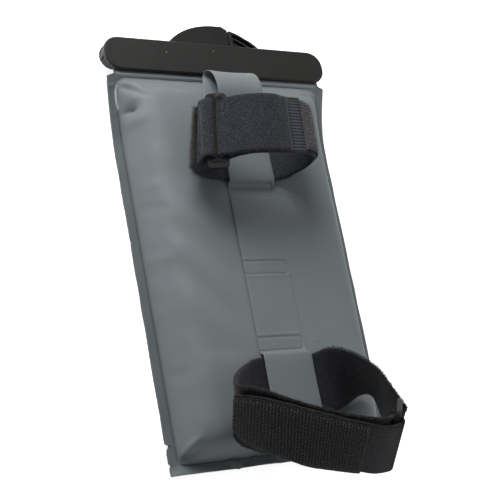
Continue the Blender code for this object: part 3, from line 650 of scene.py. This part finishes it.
def fuzz(path, across, random, count, first, last, face, length, edge=0, clip=None, width=STRAP_WIDTH):
    """Roots of pile fibres on one face of a strap, or along one of its edges."""
    out = normals(path, across)
    run = lengths(path)
    roots = []
    for _ in range(count):
        place = random.uniform(first, last)
        i = min(int(place), len(path) - 2)
        side, up = across[i].normalized(), out[i]
        taken = clip(run[i], -1) if clip is not None else 0
        if edge:
            u = edge * (width / 2 - abs(random.gauss(0, 0.35)) - (taken if edge < 0 else 0))
        else:
            u = random.uniform(-width / 2 + taken, width / 2)
        root = path[i].lerp(path[i + 1], place - i) + side * u + up * face * STRAP_THICKNESS * 0.42
        lean = up * face * random.uniform(0.5, 1)
        if edge:
            lean = lean * random.uniform(-0.2, 1) + side * edge * random.uniform(0.2, 1)
        lean += side * random.uniform(-0.7, 0.7) + side.cross(up) * random.uniform(-0.8, 0.8)
        lean.normalize()
        size = length * random.uniform(0.35, 1.15)
        bend = Vector((random.uniform(-1, 1), random.uniform(-1, 1), random.uniform(-1, 1))) * size * 0.35
        roots.append(([root, root + lean * size * 0.55 + bend * 0.4, root + lean * size + bend],
                      random.uniform(0.045, 0.07)))
    return roots


def hooks(name, path, across, width, material, random, inside=None, face=1):
    """Field of fine moulded hooks in staggered columns across a tape."""
    out = normals(path, across)
    run = lengths(path)
    roots = []
    step_v, step_u = 1.5, 0.98
    start, end = run[0] + 0.7, run[-1] - 0.5
    count = int(width / step_u)
    for row in range(int((end - start) / step_v) + 1):
        v = start + row * step_v
        i, point = place_at(path, run, v)
        side, up = across[i].normalized(), out[i] * face
        along = side.cross(up)
        for column in range(count):
            u = (column - (count - 1) / 2 + 0.5 * (row % 2)) * step_u
            turn = 1 if column % 2 else -1
            stagger = 0.36 * turn + random.uniform(-0.15, 0.15)
            if inside is not None and not inside(u, v + stagger):
                continue
            lean = side * random.uniform(0.45, 0.75) - along * turn * random.uniform(0.75, 1)
            root = point + side * (u + random.uniform(-0.12, 0.12)) + along * stagger + up * HOOK_FOOT
            height = random.uniform(0.55, 0.7)
            curl = [root + up * height * rise + lean * bent
                    for rise, bent in ((0, 0), (0.75, 0), (1, 0.22), (0.86, 0.6), (0.55, 0.72))]
            roots.append((curl, random.uniform(0.15, 0.21)))
    return spikes(name, roots, material, 4)


def stitches(name, points, up, material):
    """Row of short stitches between neighbouring points."""
    vertices, faces = [], []
    radius, rise, sides = 0.17, 0.1, 6
    profile = ((-0.5, 0.35, 0), (-0.3, 0.9, 0.75), (0, 1, 1), (0.3, 0.9, 0.75), (0.5, 0.35, 0))
    for a, b, normal in zip(points, points[1:], up):
        stitch = (b - a) * 0.78
        side = (b - a).cross(normal).normalized()
        faces += tube_faces(len(profile), sides, len(vertices))
        for level, scale, height in profile:
            centre = (a + b) / 2 + stitch * level + normal * rise * height
            for turn in linspace(0, 2 * pi, sides + 1)[:-1]:
                vertices.append(centre + (side * cos(turn) + normal * sin(turn)) * radius * scale)
    return mesh_object(name, vertices, faces, material)


# Carrier strip

def carrier_route():
    rest = CARRIER_FILM / 2 + GAP
    over = rest + STRAP_THICKNESS + CARRIER_FILM + 2 * GAP
    half = STRAP_WIDTH / 2
    above = UPPER_STRAP_Y + half
    below = UPPER_STRAP_Y - half
    fold = BAR_BOTTOM_Y - CARRIER_FOLD_GAP

    def on_belly(y, lift=0.0):
        return (0, y, belly_outside(y) + rest + lift)

    top = belly_outside(above) + rest
    bulge = CARRIER_LOOP_HEIGHT
    route = [on_belly(below + CARRIER_EASE), on_belly(UPPER_STRAP_Y), on_belly(above),
             on_belly(above + bulge, GAP)]
    for along, rise in ((-0.89, -0.13), (-0.27, -0.29), (-0.04, -0.09), (-0.13, 0.22),
                        (-0.67, 0.75), (-1.56, 1)):
        route.append((0, fold + along * bulge, top + rise * bulge))
    route += [(0, above + bulge, top + 0.7 * bulge), (0, above + bulge / 3, top + over + 2 * GAP),
              on_belly(above - 2 * CARRIER_EASE, over), on_belly(UPPER_STRAP_Y, over),
              on_belly(below + CARRIER_EASE / 2, over), on_belly(below - CARRIER_EASE, over * 0.45)]
    welds = [WELD_Y - WELD_PITCH * i for i in range(3)]
    route += [on_belly(welds[0] + WELD_LENGTH / 3), on_belly(welds[0] - WELD_LENGTH / 2),
              on_belly(welds[1]), on_belly(welds[2])]
    upper = LOWER_STRAP_Y + half
    lower = LOWER_STRAP_Y - half
    lift = over - CARRIER_FILM - GAP
    route += [on_belly(upper + CARRIER_EASE, lift * 0.45), on_belly(upper, lift + GAP),
              on_belly(LOWER_STRAP_Y, lift), on_belly(lower + CARRIER_EASE, lift + GAP),
              on_belly(lower - CARRIER_EASE, lift * 0.5), on_belly(lower - 2.2 * CARRIER_EASE)]
    return route


def resample(path, step):
    """Points along a path at even distances."""
    run = lengths(path)
    return [place_at(path, run, v)[1] for v in linspace(0, run[-1], max(int(run[-1] / step), 2) + 1)]


WELD_CENTRES = (49.4, 7.9, -31.3)
WELD_MARK_EDGE = 11.6
CARRIER_CELLS = 66
WELD_CORNER = 1.6


def weld_emboss(u, y):
    """Height of the pressed weld marks at a place on the strip, from its face."""
    height = 0
    for centre in WELD_CENTRES:
        past_y, past_u = abs(y - centre) - WELD_LENGTH / 2, u - WELD_MARK_EDGE
        outside = max(past_y, past_u)
        if outside + WELD_CORNER > 0:
            corner = sqrt(max(past_y + WELD_CORNER, 0) ** 2 + max(past_u + WELD_CORNER, 0) ** 2)
            outside = max(corner - WELD_CORNER, min(outside, 0))
        height -= 0.12 * (1 - smooth(-0.5, 0.35, outside))
        height += 0.26 * hump(outside - 0.8, 0.55) - 0.34 * hump(outside + 0.25, 0.5)
    return height


def build_carrier(material):
    path = resample(smooth_path(carrier_route(), 16), 0.62)
    across = [Vector((1, 0, 0))] * len(path)
    outer, inner = [], []
    for point, out, v in zip(path, normals(path, across), lengths(path)):
        flip = -1 if out.z < 0 and v < 40 else 1
        skew = -4.2 * smooth(20, 29, v) * smooth(68, 44, v)
        free = smooth(34, 42, v) * smooth(78, 66, v)
        flat = smooth(96, 104, v) * smooth(-38, -33, point.y)
        outer.append([])
        inner.append([])
        for share in linspace(-1, 1, CARRIER_CELLS):
            u = share * CARRIER_WIDTH / 2 + 0.1 * wobble(v, share * FAR, 30, 2) * abs(share)
            bow = 0.12 * wobble(u, v, 12, 6) + 0.5 * free * (share * share - 0.5)
            bow -= (1.8 * smooth(-0.2, 1, share) + 1.3 * smooth(0.9, 1, share)) * flat
            place = point + Vector((u + skew, 0, 0)) + out * bow * (0.3 + 0.7 * free)
            half = CARRIER_FILM / 2 * (1 - 0.5 * smooth(0.93, 1, abs(share)))
            press = weld_emboss(u, point.y) if v > 95 else 0
            outer[-1].append(place + out * (half + press) * flip)
            inner[-1].append(place - out * half * flip)
    # The strip gets no painted flange shade
    weld = {"weld": np.zeros((len(path), CARRIER_CELLS))}
    return sheet_object("strap_carrier_strip", np.array(outer), np.array(inner), material, weld)


# Straps

def wrap(centre, flat, up, start, end):
    """Middle of a strap that turns round a ring's bar, between two angles in degrees."""
    radius = RING_BAR / sqrt(2) + 2 * GAP + STRAP_THICKNESS / 2
    return [centre + (flat * cos(turn) + up * sin(turn)) * radius
            for turn in linspace(radians(start), radians(end), 7)]


def ring_frame(centre, along, across):
    """Middles of a ring's two bars, the direction from bar to bar and the one off its face."""
    side = across.normalized()
    flat = (along - side * along.dot(side)).normalized()
    up = flat.cross(side)
    pitch = RING_SLOT + RING_BAR
    return [centre - flat * pitch / 2, centre + flat * pitch / 2], flat, up


def tilted(tilt, yaw):
    """Direction of a strap's width from its tilt and yaw in degrees."""
    rise, turn = radians(tilt), radians(yaw)
    return Vector((sin(turn) * cos(rise), cos(turn) * cos(rise), sin(rise)))


def upper_route():
    bed = belly_outside(UPPER_STRAP_Y) + CARRIER_FILM + 2 * GAP + STRAP_THICKNESS / 2

    def at(x, height):
        return Vector((x * UPPER_LOOP_WIDTH, UPPER_STRAP_Y, bed + height * UPPER_LOOP_HEIGHT))

    ring_side = tilted(5, 6)
    slant = Vector((cos(UPPER_RING_SLANT), 0, sin(UPPER_RING_SLANT)))
    bars, flat, up = ring_frame(at(-0.455, 0.735), slant, ring_side)
    sewn_end = [at(-0.485, 0.338), at(-0.497, 0.441), at(-0.485, 0.565)]
    sewn_turn = wrap(bars[0], flat, up, -10, 190)
    # Each station: x and height as shares of the loop's size, tilt and yaw in degrees
    loop = [(-0.57, 0.529, 6, 9), (-0.54, 0.382, 8, 12), (-0.495, 0.244, 8, 9),
            (-0.44, 0.135, 3, 3), (-0.333, 0.05, 0, 0), (-0.225, 0, 0, 0), (0, 0, 0, 0),
            (0.2, 0, 0, 0), (0.295, 0.065, 0, 0), (0.36, 0.218, 0, 1), (0.405, 0.429, 0, 2),
            (0.42, 0.635, 0, 3), (0.395, 0.794, 0, 3), (0.315, 0.894, 0, 4),
            (0.19, 0.918, 1, 5), (0, 0.929, 3, 6), (-0.167, 0.912, 5, 6),
            (-0.283, 0.812, 5, 6)]
    closing_turn = wrap(bars[1], flat, up, -75, -285)
    free_end = [at(-0.297, 0.929), at(-0.155, 1.003), at(-0.01, 1.018), at(0.075, 1),
                at(0.142, 0.975)]
    route = sewn_end + sewn_turn + [at(x, height) for x, height, _, _ in loop]
    route += closing_turn + free_end
    sides = [ring_side] * (len(sewn_end) + len(sewn_turn))
    sides += [tilted(tilt, yaw) for _, _, tilt, yaw in loop]
    sides += [ring_side] * (len(closing_turn) + len(free_end) - 2) + [tilted(1, 5)] * 2
    return route, sides, at


def lower_route():
    bed = belly_outside(LOWER_STRAP_Y) + GAP + STRAP_THICKNESS / 2

    def at(x, back, height):
        return Vector((x * LOWER_LOOP_WIDTH, LOWER_STRAP_Y - back * LOWER_LOOP_SLUMP,
                       bed + height * LOWER_LOOP_HEIGHT))

    # Each station: x, back and height as shares of the loop's size, tilt and yaw in degrees
    front = [(-0.49, 0.468, 0.607, 51, -20), (-0.439, 0.528, 0.75, 49, -18),
             (-0.364, 0.617, 0.875, 47, -16), (-0.265, 0.719, 0.946, 46, -15),
             (-0.15, 0.831, 0.982, 46, -12), (-0.04, 0.912, 1, 48, -12),
             (0.07, 0.98, 1, 51, -13), (0.184, 1.044, 0.982, 54, -13),
             (0.3, 1.09, 0.93, 54, -12)]
    outer = [at(x, back, height) for x, back, height, _, _ in front]
    outer_sides = [tilted(tilt, yaw) for _, _, _, tilt, yaw in front]
    under = STRAP_THICKNESS + GAP + LAYER_SLACK
    rises = (3.2, 2.8, 1.9, 1.1, 0.8, 0.8, 1.1, 1.8, 2.6)
    inner = [point - out * under + side * rise for point, out, side, rise
             in zip(outer, normals(outer, outer_sides), outer_sides, rises)]
    tip = at(-0.511, 0.443, 0.548)
    ring_side = tilted(53, -12)
    bars, flat, up = ring_frame(at(0.44, 0.925, 0.736), Vector(LOWER_RING_ALONG), ring_side)
    turn = wrap(bars[0], flat, up, 155, -70)
    tail = wrap(bars[1], flat, up, 60, 235)
    route = [tip] + outer + turn + inner[::-1]
    sides = [tilted(52, -21)] + outer_sides + [ring_side] * len(turn) + outer_sides[::-1]
    loop = [(-0.462, 0.35, 0.46, 36, -12), (-0.412, 0.26, 0.3, 22, -7),
            (-0.335, 0.16, 0.15, 10, -3), (-0.265, 0.07, 0.05, 3, 0), (-0.188, 0, 0, 0, 0),
            (0, 0, 0, 0, 0), (0.15, 0, 0, 0, 0), (0.2, -0.005, 0.03, 2, -2),
            (0.265, -0.03, 0.18, 16, -14), (0.34, -0.035, 0.36, 38, -33),
            (0.41, 0.03, 0.48, 51, -48), (0.461, 0.18, 0.58, 60, -55),
            (0.482, 0.45, 0.67, 65, -50), (0.51, 0.72, 0.7, 60, -30)]
    route += [at(x, back, height) for x, back, height, _, _ in loop]
    sides += [tilted(tilt, yaw) for _, _, _, tilt, yaw in loop]
    route += tail
    sides += [ring_side] * len(tail)
    return route, sides, len(front) + 1, len(turn)


def shifted(path, across, lift):
    return [point + out * lift for point, out in zip(path, normals(path, across))]


def strap_path(route, sides):
    """Fine path of a strap, the directions across it and the distances along it."""
    path = smooth_path(route, STEPS)
    return path, [side.normalized() for side in smooth_path(sides, STEPS)], lengths(path)


def build_upper_strap(look):
    random = Random(SEED)
    route, sides, at = upper_route()
    path, across, run = strap_path(route, sides)
    low, high = at(0.26, 0.18), at(0.26, 0.93)
    bend = [i for i, point in enumerate(path) if point.x > low.x and low.z < point.z < high.z]
    first, last = bend[0], bend[-1]
    left, turn, end = 9 * STEPS, 28 * STEPS, len(path)

    def zones(v, face):
        if face < 0 and run[left + 3 * STEPS] < v < run[first]:
            return 2
        if face < 0 and run[last] - 2 < v < run[min(last + 4 * STEPS, end - 1)]:
            return 1
        groove = v < run[5 * STEPS] if face < 0 else run[turn] < v < run[turn + 3 * STEPS]
        return 2 if groove else 0

    def closed(_, v):
        """Fullness that fills the ring's slot between the two turns."""
        return (0.5 * smooth(run[turn], run[turn + 2 * STEPS], v)
                * smooth(run[turn + 5 * STEPS], run[turn + 4 * STEPS], v))

    # Its nylon at level 1.1 is the lit copy of the lower strap's, as painted light
    strap = band_object("upper_strap_webbing", path, across, STRAP_WIDTH, STRAP_THICKNESS,
                        nylon_look("knitted_nylon", 1.1, run[-1]), 3.3, zones=zones, raise_face=closed)
    lift = -(STRAP_THICKNESS + PATCH_THICKNESS) / 2 - 2 * GAP + TAPE_SINK
    tape, tape_across = shifted(path, across, lift)[first:last + 1], across[first:last + 1]
    width = STRAP_WIDTH - 2 * PATCH_MARGIN
    patch = band_object("upper_hook_tape", tape, tape_across, width, TAPE_BASE, look["pale_tape"], 6.1,
                        cells=14)
    field = hooks("upper_hooks", tape, tape_across, width - 1.6, look["pale_hook"], random, face=-1)
    roots = fuzz(path, across, random, 12000, left + 0.9 * STEPS, left + 5 * STEPS, -1, 3.4,
                 width=STRAP_WIDTH - 1)
    # Each strip of pile: fibres, first and last place, face, length and edge
    for strip in ((1300, last, end - 12 * STEPS, -1, 1.3, 1), (1400, 29 * STEPS, 33 * STEPS, 1, 2.6, 1),
                  (1500, left, first, -1, 1, -1), (1300, left, first, -1, 1, 1),
                  (260, end - 5 * STEPS, end - 2, -1, 1.3, -1)):
        roots += fuzz(path, across, random, *strip)
    pile = spikes("upper_strap_pile", roots, look["fibre"])
    return [(strap, ("upper_strap",), "webbing"), (patch, ("upper_hook_patch",), "hook_tape"),
            (field, (), "hook_tape"), (pile, (), "webbing")]


def build_lower_strap(look):
    random = Random(SEED + 1)
    route, sides, front, turn = lower_route()
    path, across, run = strap_path(route, sides)
    tape_end = (front - 2) * STEPS
    inner_start = (front + turn) * STEPS
    inner_end = inner_start + (front - 1) * STEPS

    def zones(v, face):
        # Zone 2 paints the loop's inner face near-black: dark pile, with the shade inside the loop
        # painted in
        return 2 if face < 0 and v > run[inner_start - 3 * STEPS] else 0

    def cut(v, side):
        """How far the strap's cut corners draw its long edges in."""
        return 8 * exp(-v / 2.3) if side < 0 else max(1 - 0.6 * v, 0)

    def clip(v, side):
        return 11 * exp(-v / 6) if side < 0 else max(1.2 - 0.6 * v, 0)

    strap = band_object("lower_strap_webbing", path, across, STRAP_WIDTH, STRAP_THICKNESS,
                        look["shaded_nylon"], 5.7, zones=zones, clip=cut)
    lift = (STRAP_THICKNESS + PATCH_THICKNESS) / 2 + 2 * GAP - TAPE_SINK
    tape, tape_across = shifted(path, across, lift)[:tape_end + 1], across[:tape_end + 1]
    width = STRAP_WIDTH - 0.6
    patch = band_object("lower_hook_tape", tape, tape_across, width, TAPE_BASE, look["tape"], 2.2,
                        cells=20, clip=clip)

    def inside(u, v):
        return -width / 2 + 0.8 + clip(v, -1) < u < width / 2 - 0.8 - clip(v, 1)

    field = hooks("lower_hooks", tape, tape_across, width - 1.4, look["hook"], random, inside=inside)
    roots = []
    for strip in ((4500, inner_start - STEPS, inner_end, -1, 1.7, 1), (1400, 0, front * STEPS, 1, 0.9, 1),
                  (700, 0, 3 * STEPS, 1, 1.3, -1), (1200, 0, 2 * STEPS, 1, 0.9),
                  (2600, inner_end, len(path) - 2 * STEPS, -1, 1.2, 1),
                  (1500, inner_end - STEPS, inner_end + 2 * STEPS, -1, 1.2)):
        roots += fuzz(path, across, random, *strip, clip=cut)
    pile = spikes("lower_strap_pile", roots, look["fibre"])
    side, up = tape_across[-1].normalized(), normals(tape, tape_across)[-1]
    middle = tape[-1] + up * 0.32 - side.cross(up) * 1.2
    seam = [middle + side * share * (width - 2) for share in linspace(-0.5, 0.5, 15)]
    thread = stitches("lower_tape_stitches", seam, [up] * len(seam), look["thread"])
    return [(strap, ("lower_strap",), "webbing"), (patch, ("lower_hook_patch",), "hook_tape"),
            (field, (), "hook_tape"), (pile, (), "webbing"), (thread, (), "webbing")]


# Materials

def plug(tree, socket, value):
    """Give a socket a link, a colour or a number."""
    if isinstance(value, bpy.types.NodeSocket):
        tree.links.new(value, socket)
    else:
        socket.default_value = (*value, 1) if socket.type == "RGBA" else value


def add_node(tree, kind, inputs=None, **settings):
    """Add a shader node; inputs gives values to its sockets by name or number."""
    node = tree.nodes.new("ShaderNode" + kind)
    for key, value in settings.items():
        setattr(node, key, value)
    for key, value in (inputs or {}).items():
        plug(tree, node.inputs[key], value)
    return node


class Shade:
    """A Principled material that is put together node by node."""

    def __init__(self, name, colour, roughness, **inputs):
        self.material = bpy.data.materials.new(name)
        self.material.use_nodes = True
        self.tree = self.material.node_tree
        self.shader = self.tree.nodes["Principled BSDF"]
        self.place = add_node(self.tree, "TexCoord").outputs["Object"]
        self.colour(colour)
        self.roughness(roughness)
        for key, value in inputs.items():
            plug(self.tree, self.shader.inputs[key.replace("_", " ")], value)

    def colour(self, value):
        plug(self.tree, self.shader.inputs["Base Color"], value)

    def roughness(self, value):
        plug(self.tree, self.shader.inputs["Roughness"], value)

    def attribute(self, name, output="Fac"):
        return add_node(self.tree, "Attribute", attribute_name=name).outputs[output]

    def texture(self, kind, scale, vector, **inputs):
        place = self.place if vector is None else vector
        return add_node(self.tree, kind, {"Vector": place, "Scale": scale, **inputs}).outputs

    def noise(self, scale, detail=3.0, vector=None):
        return self.texture("TexNoise", scale, vector, Detail=detail, Roughness=0.55)["Fac"]

    def mottle(self, scale, detail, low=0.3, high=0.7, to=(0, 1)):
        """Noise of more contrast, from the first to the second value of to."""
        return self.ramp(self.noise(scale, detail), low, high, *to)

    def cells(self, scale, vector=None):
        """Distance to the nearest cell's centre, and a random value for each cell."""
        found = self.texture("TexVoronoi", scale, vector)
        return found["Distance"], self.split(found["Color"])[0]

    def math(self, operation, first, second=0.0):
        return add_node(self.tree, "Math", {0: first, 1: second}, operation=operation).outputs[0]

    def times(self, first, second):
        return self.math("MULTIPLY", first, second)

    def wave(self, value, pitch):
        return self.math("SINE", self.times(value, 2 * pi / pitch))

    def ramp(self, value, low, high, to_low=0.0, to_high=1.0):
        return add_node(self.tree, "MapRange", {"Value": value, "From Min": low, "From Max": high,
                                                "To Min": to_low, "To Max": to_high}).outputs[0]

    def split(self, vector):
        return add_node(self.tree, "SeparateXYZ", {0: vector}).outputs

    def spot(self, centre, radius):
        """1 within a small round spot at a place in millimetres, 0 elsewhere."""
        away = add_node(self.tree, "VectorMath", {0: self.place, 1: [value * MM for value in centre]},
                        operation="DISTANCE")
        return self.ramp(away.outputs["Value"], radius * MM, radius * 0.6 * MM)

    def blend(self, factor, first, second):
        inputs = {"Factor": factor, 6: first, 7: second}
        return add_node(self.tree, "Mix", inputs, data_type="RGBA").outputs[2]

    def bump(self, height, distance, strength=1.0, before=None):
        inputs = {"Strength": strength, "Distance": distance, "Height": height}
        if before is not None:
            inputs["Normal"] = before
        normal = add_node(self.tree, "Bump", inputs).outputs[0]
        plug(self.tree, self.shader.inputs["Normal"], normal)
        return normal


def scaled(colour, amount):
    return tuple(min(channel * amount, 1) for channel in colour)


def film_look():
    look = Shade("satin_film", FILM_GREY, 0.62, Specular_IOR_Level=0.36)
    broad = look.mottle(26, 2)
    fine = look.mottle(1900, 2)
    base = look.blend(broad, scaled(FILM_GREY, 0.955), scaled(FILM_GREY, 1.04))
    base = look.blend(look.times(fine, 0.35), base, scaled(FILM_GREY, 0.86))
    # The weld attribute carries the painted shade that darkens the flange
    weld = look.attribute("weld")
    base = look.blend(look.times(weld, 0.75), base, scaled(FILM_GREY, 0.62))
    # Painted highlight on the seam and painted light on the neck, blended towards a pale grey
    base = look.blend(look.times(look.attribute("painted_light"), 0.85), base, scaled(FILM_GREY, 4.8))
    specks = look.math("MAXIMUM", look.spot((-5.1, 2.8, 21), 0.5), look.spot((19.9, -31.4, 21), 0.45))
    base = look.blend(look.times(specks, 0.75), base, (0.03, 0.03, 0.03))
    look.colour(base)
    look.roughness(look.mottle(55, 3, to=(0.56, 0.66)))
    grain = look.bump(look.cells(2600)[0], 0.00004, 0.35)
    look.bump(look.noise(230, 3), 0.0003, 0.14, grain)
    return look.material


def window_look():
    look = Shade("clear_film", (0.86, 0.90, 0.91), 0.1, Transmission_Weight=0.94, IOR=1.12,
                 Specular_IOR_Level=0.5)
    look.roughness(look.mottle(40, 3, 0.35, 0.7, (0.06, 0.2)))
    look.bump(look.noise(90, 2), 0.0004, 0.12)
    return look.material


def foam_look():
    look = Shade("closed_cell_foam", FOAM, 0.95, Sheen_Weight=0.15)
    cell, _ = look.cells(1500)
    look.colour(look.blend(look.ramp(cell, 0, 0.8), scaled(FOAM, 0.7), scaled(FOAM, 1.15)))
    look.bump(cell, 0.0003, 0.6)
    return look.material


def moulded_look(name, colour, roughness, specks=(), specular=0.28):
    look = Shade(name, colour, roughness, Specular_IOR_Level=specular)
    broad = look.mottle(70, 3)
    base = look.blend(broad, scaled(colour, 0.93), scaled(colour, 1.1))
    fine = look.mottle(5200, 2, 0.35, 0.7)
    base = look.blend(look.times(fine, 0.4), base, scaled(colour, 1.35))
    for centre, radius in specks:
        base = look.blend(look.times(look.spot(centre, radius), 0.6), base, (0.30, 0.29, 0.27))
    look.colour(base)
    look.roughness(look.mottle(120, 3, to=(roughness - 0.05, roughness + 0.07)))
    grain = look.bump(look.noise(4200, 2), 0.00006, 0.55)
    look.bump(look.noise(160, 2), 0.0003, 0.05, grain)
    return look.material


def nylon_look(name, level, end=None):
    """Knitted tape with light specks, ribs in zone 1 and matt pile in zone 2.

    Its sizes are in millimetres, as the attribute lay is. A free end at end has a paler rim.
    """
    yarn = scaled(NYLON, level)
    look = Shade(name, yarn, 0.82, Specular_IOR_Level=0.22, Sheen_Weight=0.08)
    cloth = look.attribute("lay", "Vector")
    u, v, _ = look.split(cloth)
    cloth = add_node(look.tree, "CombineXYZ", {0: u, 1: v}).outputs[0]
    distance, chance = look.cells(1 / KNIT_CELL, cloth)
    wale = look.wave(look.math("ADD", u, look.times(look.noise(0.5, 2, cloth), 0.6)), WALE_PITCH)
    knit = look.math("ADD", look.times(look.ramp(distance, 0.62, 0.1), 0.7), look.times(wale, 0.28))
    rib = look.math("ADD", look.times(look.wave(u, RIB_PITCH), 0.8), look.times(look.wave(v, 1.5), 0.35))
    zone = look.attribute("zone")
    ribbed = look.ramp(look.math("ABSOLUTE", look.math("SUBTRACT", zone, 1)), 0.5, 0)
    base = look.blend(look.times(knit, chance), scaled(yarn, 0.7), scaled(yarn, 2.6))
    speck = look.times(chance, look.ramp(distance, 0.62, 0.25))
    base = look.blend(look.times(speck, 0.75), base, scaled((0.060, 0.066, 0.080), level))
    ribs = look.blend(look.ramp(rib, -0.9, 0.9), scaled(yarn, 0.7), scaled(yarn, 3))
    base = look.blend(ribbed, base, ribs)
    if end is not None:
        rim = look.times(look.ramp(v, end - 1.9, end - 1.1), 0.4)
        base = look.blend(rim, base, (0.085, 0.086, 0.092))
    # Zone 2 takes the near-black pile colour, which inside the lower loop also paints its shade
    look.colour(look.blend(look.ramp(zone, 1.2, 1.8), base, scaled(PILE, level)))
    weave = look.bump(look.blend(ribbed, knit, rib), 0.0002, 0.7)
    look.bump(look.noise(1500, 3), 0.0002, 0.12, weave)
    return look.material


def tape_look(name, colour):
    look = Shade(name, colour, 0.75, Specular_IOR_Level=0.25)
    fine = look.mottle(1600, 3, 0.35, 0.7)
    look.colour(look.blend(fine, scaled(colour, 0.6), scaled(colour, 1.6)))
    look.bump(look.noise(2400, 2), 0.0001, 0.5)
    return look.material


def fibre_look():
    look = Shade("pile_fibre", FIBRE, 0.85, Sheen_Weight=0.2)
    fine = look.mottle(700, 2, 0.35, 0.65)
    look.colour(look.blend(fine, scaled(FIBRE, 0.35), scaled(FIBRE, 1.5)))
    return look.material


# Stage

def build_stage():
    material = bpy.data.materials.new("pale_floor")
    material.use_nodes = True
    tree = material.node_tree
    tree.nodes.clear()
    path = add_node(tree, "LightPath").outputs
    seen = path["Is Camera Ray"]
    for kind in ("Is Glossy Ray", "Is Transmission Ray"):
        seen = add_node(tree, "Math", {0: seen, 1: path[kind]}, operation="MAXIMUM").outputs[0]
    share = add_node(tree, "Math", {0: seen, 1: 1 - WORLD_LEVEL * FLOOR_GREY[0]}, operation="MULTIPLY")
    matt = add_node(tree, "BsdfDiffuse", {"Color": FLOOR_GREY})
    white = add_node(tree, "Emission", {"Color": (1, 1, 1), "Strength": share.outputs[0]})
    both = add_node(tree, "AddShader", {0: matt.outputs[0], 1: white.outputs[0]})
    add_node(tree, "OutputMaterial", {0: both.outputs[0]})
    corners = [(x * FLOOR_SIZE, y * FLOOR_SIZE, -0.02) for x, y in ((-1, -1), (1, -1), (1, 1), (-1, 1))]
    item = mesh_object("floor", corners, [[0, 1, 2, 3]], material)

    world = bpy.data.worlds.new("studio")
    bpy.context.scene.world = world
    world.use_nodes = True
    tree = world.node_tree
    seen = add_node(tree, "LightPath").outputs["Is Camera Ray"]
    bright = add_node(tree, "MapRange", {"Value": seen, "To Min": WORLD_LEVEL, "To Max": 1})
    plug(tree, tree.nodes["Background"].inputs[0], (1, 1, 1))
    plug(tree, tree.nodes["Background"].inputs[1], bright.outputs[0])


def add_softbox(name, place, target, size, power):
    light = bpy.data.lights.new(name, "AREA")
    light.shape = "RECTANGLE"
    light.size, light.size_y = size
    light.energy = power
    item = bpy.data.objects.new(name, light)
    item.location = place
    item.rotation_euler = (Vector(target) - Vector(place)).to_track_quat("-Z", "Y").to_euler()
    bpy.context.scene.collection.objects.link(item)


def add_camera():
    """Camera that was fitted to the photo, with its turns in radians."""
    camera = bpy.data.cameras.new("camera")
    camera.sensor_width = 36
    camera.lens = 71.7327
    camera.clip_start = 0.01
    item = bpy.data.objects.new("camera", camera)
    turn = Matrix.Identity(3)
    for angle, axis in ((0.193285, "Z"), (-0.322357, "X"), (0.504365, "Y")):
        turn = turn @ Matrix.Rotation(angle, 3, axis)
    item.matrix_world = Matrix.Translation((-0.234041, -0.139160, 0.431583)) @ turn.transposed().to_4x4()
    bpy.context.scene.collection.objects.link(item)
    bpy.context.scene.camera = item


def soften(node, width, material):
    """Round the edges of a rigid solid and give it its finished material."""
    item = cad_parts[node]
    weld = item.modifiers.new("weld", "WELD")
    weld.merge_threshold = 0.002 * MM
    bevel = item.modifiers.new("soft_edges", "BEVEL")
    bevel.width = width * MM
    bevel.segments = 2
    bevel.limit_method = "ANGLE"
    bevel.angle_limit = radians(32)
    bevel.use_clamp_overlap = True
    for slot in item.material_slots:
        slot.material = material


def build():
    film = film_look()
    look = {
        # Lit and shaded copies of one nylon: the lower strap's at level 0.55 against the upper strap's
        # 1.1, as painted shade on the lower strap
        "shaded_nylon": nylon_look("shaded_knitted_nylon", 0.55),
        "tape": tape_look("hook_tape_base", scaled(HOOK_TAPE, 0.5)),
        "hook": tape_look("hook_monofilament", scaled(HOOK_TAPE, 3.4)),
        # Paler copies of the hook tape's colours, for the upper strap's field
        "pale_tape": tape_look("pale_hook_tape_base", scaled(HOOK_TAPE, 1.7)),
        "pale_hook": tape_look("pale_hook_monofilament", scaled(HOOK_TAPE, 5.6)),
        "thread": tape_look("black_thread", (0.015, 0.015, 0.016)),
        "fibre": fibre_look(),
    }
    made = [
        (build_back_film(film), ("back_film",), "film"),
        (build_front_film(film), ("front_frame",), "film"),
        (build_window(window_look()), ("window_film",), "window"),
        (build_carrier(film), ("strap_carrier",), "film"),
    ]
    liner = build_liner(foam_look())
    made += [(liner, ("insulating_liner",), "foam")] + build_upper_strap(look) + build_lower_strap(look)
    for item, nodes, slot in made:
        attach(item, "pouch")
        if nodes:
            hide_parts(*nodes)

    clamp = moulded_look("clamp_plastic", BLACK_PLASTIC, 0.5,
                         (((-30.7, 132.3, REAR_BAR_FACE), 0.5), ((-2.9, 135.2, REAR_BAR_FACE), 0.4)))
    lever = moulded_look("lever_plastic", scaled(BLACK_PLASTIC, 0.72), 0.48)
    pin = moulded_look("pin_plastic", (0.05, 0.05, 0.05), 0.4)
    # Both rings are one plastic: the upper ring's is darkened as painted shade, the lower ring's
    # lightened as painted light
    ring = moulded_look("ring_plastic", RING, 0.5, specular=0.12)
    lit_ring = moulded_look("lit_ring_plastic", (0.048, 0.045, 0.043), 0.4)
    for nodes, width, material in ((("clamp_rear_bar", "clamp_front_bar"), 0.25, clamp),
                                   (("lever_left", "lever_right"), 0.2, lever),
                                   (("lever_pin_left", "lever_pin_right"), 0.12, pin),
                                   (("upper_ring",), 0.6, ring), (("lower_ring",), 0.6, lit_ring)):
        for node in nodes:
            soften(node, width, material)


add_camera()
build_stage()
add_softbox("key", (-0.24, 0.52, 0.42), (0, 0.05, 0), (0.42, 0.36), 5)
add_softbox("fill", (0.75, -0.35, 0.5), (0, 0.02, 0), (0.6, 0.6), 1.8)
build()
bpy.context.scene.view_settings.view_transform = "Standard"
